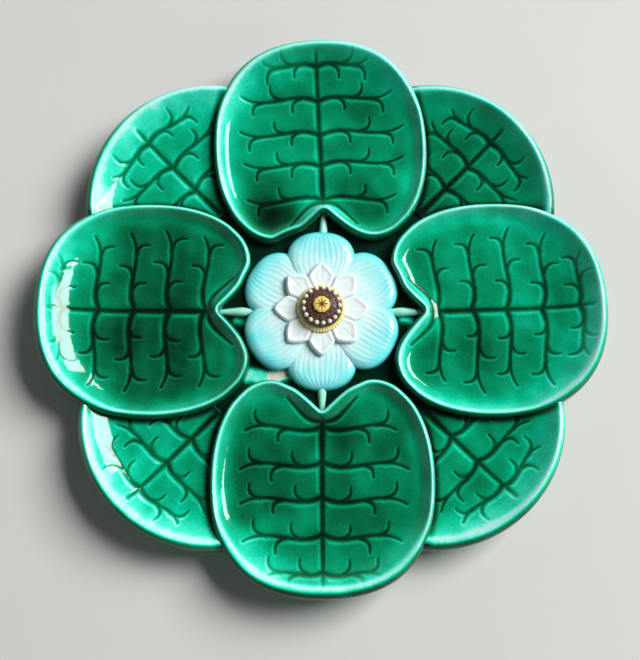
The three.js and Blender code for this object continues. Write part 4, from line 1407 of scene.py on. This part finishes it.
def stigma_disc():
    """Scalloped disc with a star cut into it, its rays long and short by turns."""
    angles = even_angles(STIGMA_POINTS)
    wave = STIGMA_SCALLOP[0] + STIGMA_SCALLOP[1] * np.cos(STIGMA_SCALLOPS * angles)
    outline = (STIGMA_RADIUS * wave)[:, None] * directions(angles)

    def top(points, inset):
        far, angle = lengths(points), bearings(points)
        sector = 2 * np.pi / STAR_RAYS
        off = (angle + sector / 2) % sector - sector / 2
        longer = np.round(angle / sector).astype(int) % 2 == 0
        reach = np.where(longer, *STAR_REACHES)
        width = STAR_HALF_WIDTH * np.sqrt(np.clip(1 - far / reach, 0, 1)) + STAR_TIP_HALF_WIDTH
        cut = falling(*STAR_CUT, far * np.abs(np.sin(off)) / width)
        cut = cut * falling(reach - STAR_TIP, reach, far)
        heights = STIGMA_BASE + STIGMA_THICKNESS - STAR_DEPTH * cut
        heights = heights - STIGMA_EDGE_DROP * falling(*STIGMA_EDGE, inset)
        edge = STIGMA_EDGE_POOL * falling(*STIGMA_EDGE_FADE, inset)
        return heights, STIGMA_GLAZE + STAR_POOL * cut + edge

    base = level(STIGMA_BASE - SEAT_GAP - SUNK)
    shell = relief(outline, (0, 0), STIGMA_CELLS, top, base, STIGMA_WALL)
    shell.piece("stigma_disc_star", "stigma_disc", "yellow_glaze", yellow_glaze)


stigma_disc()


# Floor, light and camera, in metres and degrees
FLOOR_SIZE = 40.0
FLOOR_COLOURS = ((0.0, (0.66, 0.64, 0.61)), (1.0, (0.72, 0.70, 0.67)))
FLOOR_NOISE = (9.0, 3.0)
FLOOR_ROUGHNESS = 0.7
DAYLIGHT = (0.97, 0.99, 1.0)
WINDOW_AZIMUTH = 27
WINDOW_ELEVATION = 44
WINDOW_DISTANCE = 3.3
WINDOW_SIZE = (1.86, 1.86)
WINDOW_POWER = 151.2
# Soft light: its strength up to a low height and from a great one, as sines of the elevation
LOW_LIGHT = 0.34
OVERHEAD_LIGHT = 0.035
LOW_UP_TO = 0.15
OVERHEAD_FROM = 0.80
VIEW_TILT = 13.02
VIEW_TURN = 0.62
VIEW_ROLL = 0.35
VIEW_DISTANCE = 0.483
VIEW_DROP = 0.66
VIEW_LEFT = 0.05
LENS = 64.5
SENSOR_WIDTH = 36.0
CLIP_START = 0.01


def studio_floor():
    mesh = bpy.data.meshes.new("studio_floor")
    half = FLOOR_SIZE / 2
    corners = [(-half, -half, 0), (half, -half, 0), (half, half, 0), (-half, half, 0)]
    mesh.from_pydata(corners, [], [(0, 1, 2, 3)])
    floor = show(bpy.data.objects.new("studio_floor", mesh))
    material, tree, shader = new_material("studio_floor")
    coordinates = add_node(tree, "ShaderNodeTexCoord").outputs["Object"]
    colour_by(tree, noise(tree, coordinates, *FLOOR_NOISE), FLOOR_COLOURS, shader)
    shader.inputs["Roughness"].default_value = FLOOR_ROUGHNESS
    mesh.materials.append(material)


def window_light():
    """Square lamp that faces the plate, with one side level."""
    lamp = bpy.data.lights.new("window", "AREA")
    lamp.shape = "RECTANGLE"
    lamp.size, lamp.size_y = WINDOW_SIZE
    lamp.energy = WINDOW_POWER
    lamp.color = DAYLIGHT
    light = show(bpy.data.objects.new("window", lamp))
    azimuth, elevation = radians(WINDOW_AZIMUTH), radians(WINDOW_ELEVATION)
    flat = np.cos(elevation)
    towards = Vector((flat * np.cos(azimuth), flat * np.sin(azimuth), np.sin(elevation)))
    place = towards * WINDOW_DISTANCE
    light.location = place
    light.rotation_euler = (-place).to_track_quat("-Z", "Y").to_euler()


def camera():
    lens = bpy.data.cameras.new("camera")
    lens.lens = LENS
    lens.sensor_width = SENSOR_WIDTH
    lens.clip_start = CLIP_START
    viewer = show(bpy.data.objects.new("camera", lens))
    tilt = Matrix.Rotation(radians(-VIEW_TILT), 3, "X")
    swing = Matrix.Rotation(radians(VIEW_TURN), 3, "Y")
    roll = Matrix.Rotation(radians(VIEW_ROLL), 3, "Z")
    facing = (tilt @ swing @ roll).transposed()
    drop = Matrix.Rotation(radians(-VIEW_DROP), 3, "X")
    aim = drop @ Matrix.Rotation(radians(VIEW_LEFT), 3, "Y")
    place = facing @ Vector((0, 0, VIEW_DISTANCE))
    viewer.matrix_world = Matrix.Translation(place) @ (facing @ aim).to_4x4()
    bpy.context.scene.camera = viewer


def world_light():
    """Soft light from all round, strongest low down."""
    world = bpy.data.worlds.new("soft_light")
    world.use_nodes = True
    tree = world.node_tree
    background = tree.nodes["Background"]
    background.inputs["Color"].default_value = (*DAYLIGHT, 1)
    height = add_node(tree, "ShaderNodeSeparateXYZ")
    tree.links.new(add_node(tree, "ShaderNodeTexCoord").outputs["Generated"], height.inputs[0])
    fade = add_node(tree, "ShaderNodeMapRange", interpolation_type="SMOOTHSTEP")
    fade.inputs["From Min"].default_value = LOW_UP_TO
    fade.inputs["From Max"].default_value = OVERHEAD_FROM
    fade.inputs["To Min"].default_value = LOW_LIGHT
    fade.inputs["To Max"].default_value = OVERHEAD_LIGHT
    tree.links.new(height.outputs["Z"], fade.inputs["Value"])
    tree.links.new(fade.outputs["Result"], background.inputs["Strength"])
    bpy.context.scene.world = world


studio_floor()
window_light()
camera()
world_light()
bpy.context.scene.view_settings.view_transform = "Standard"
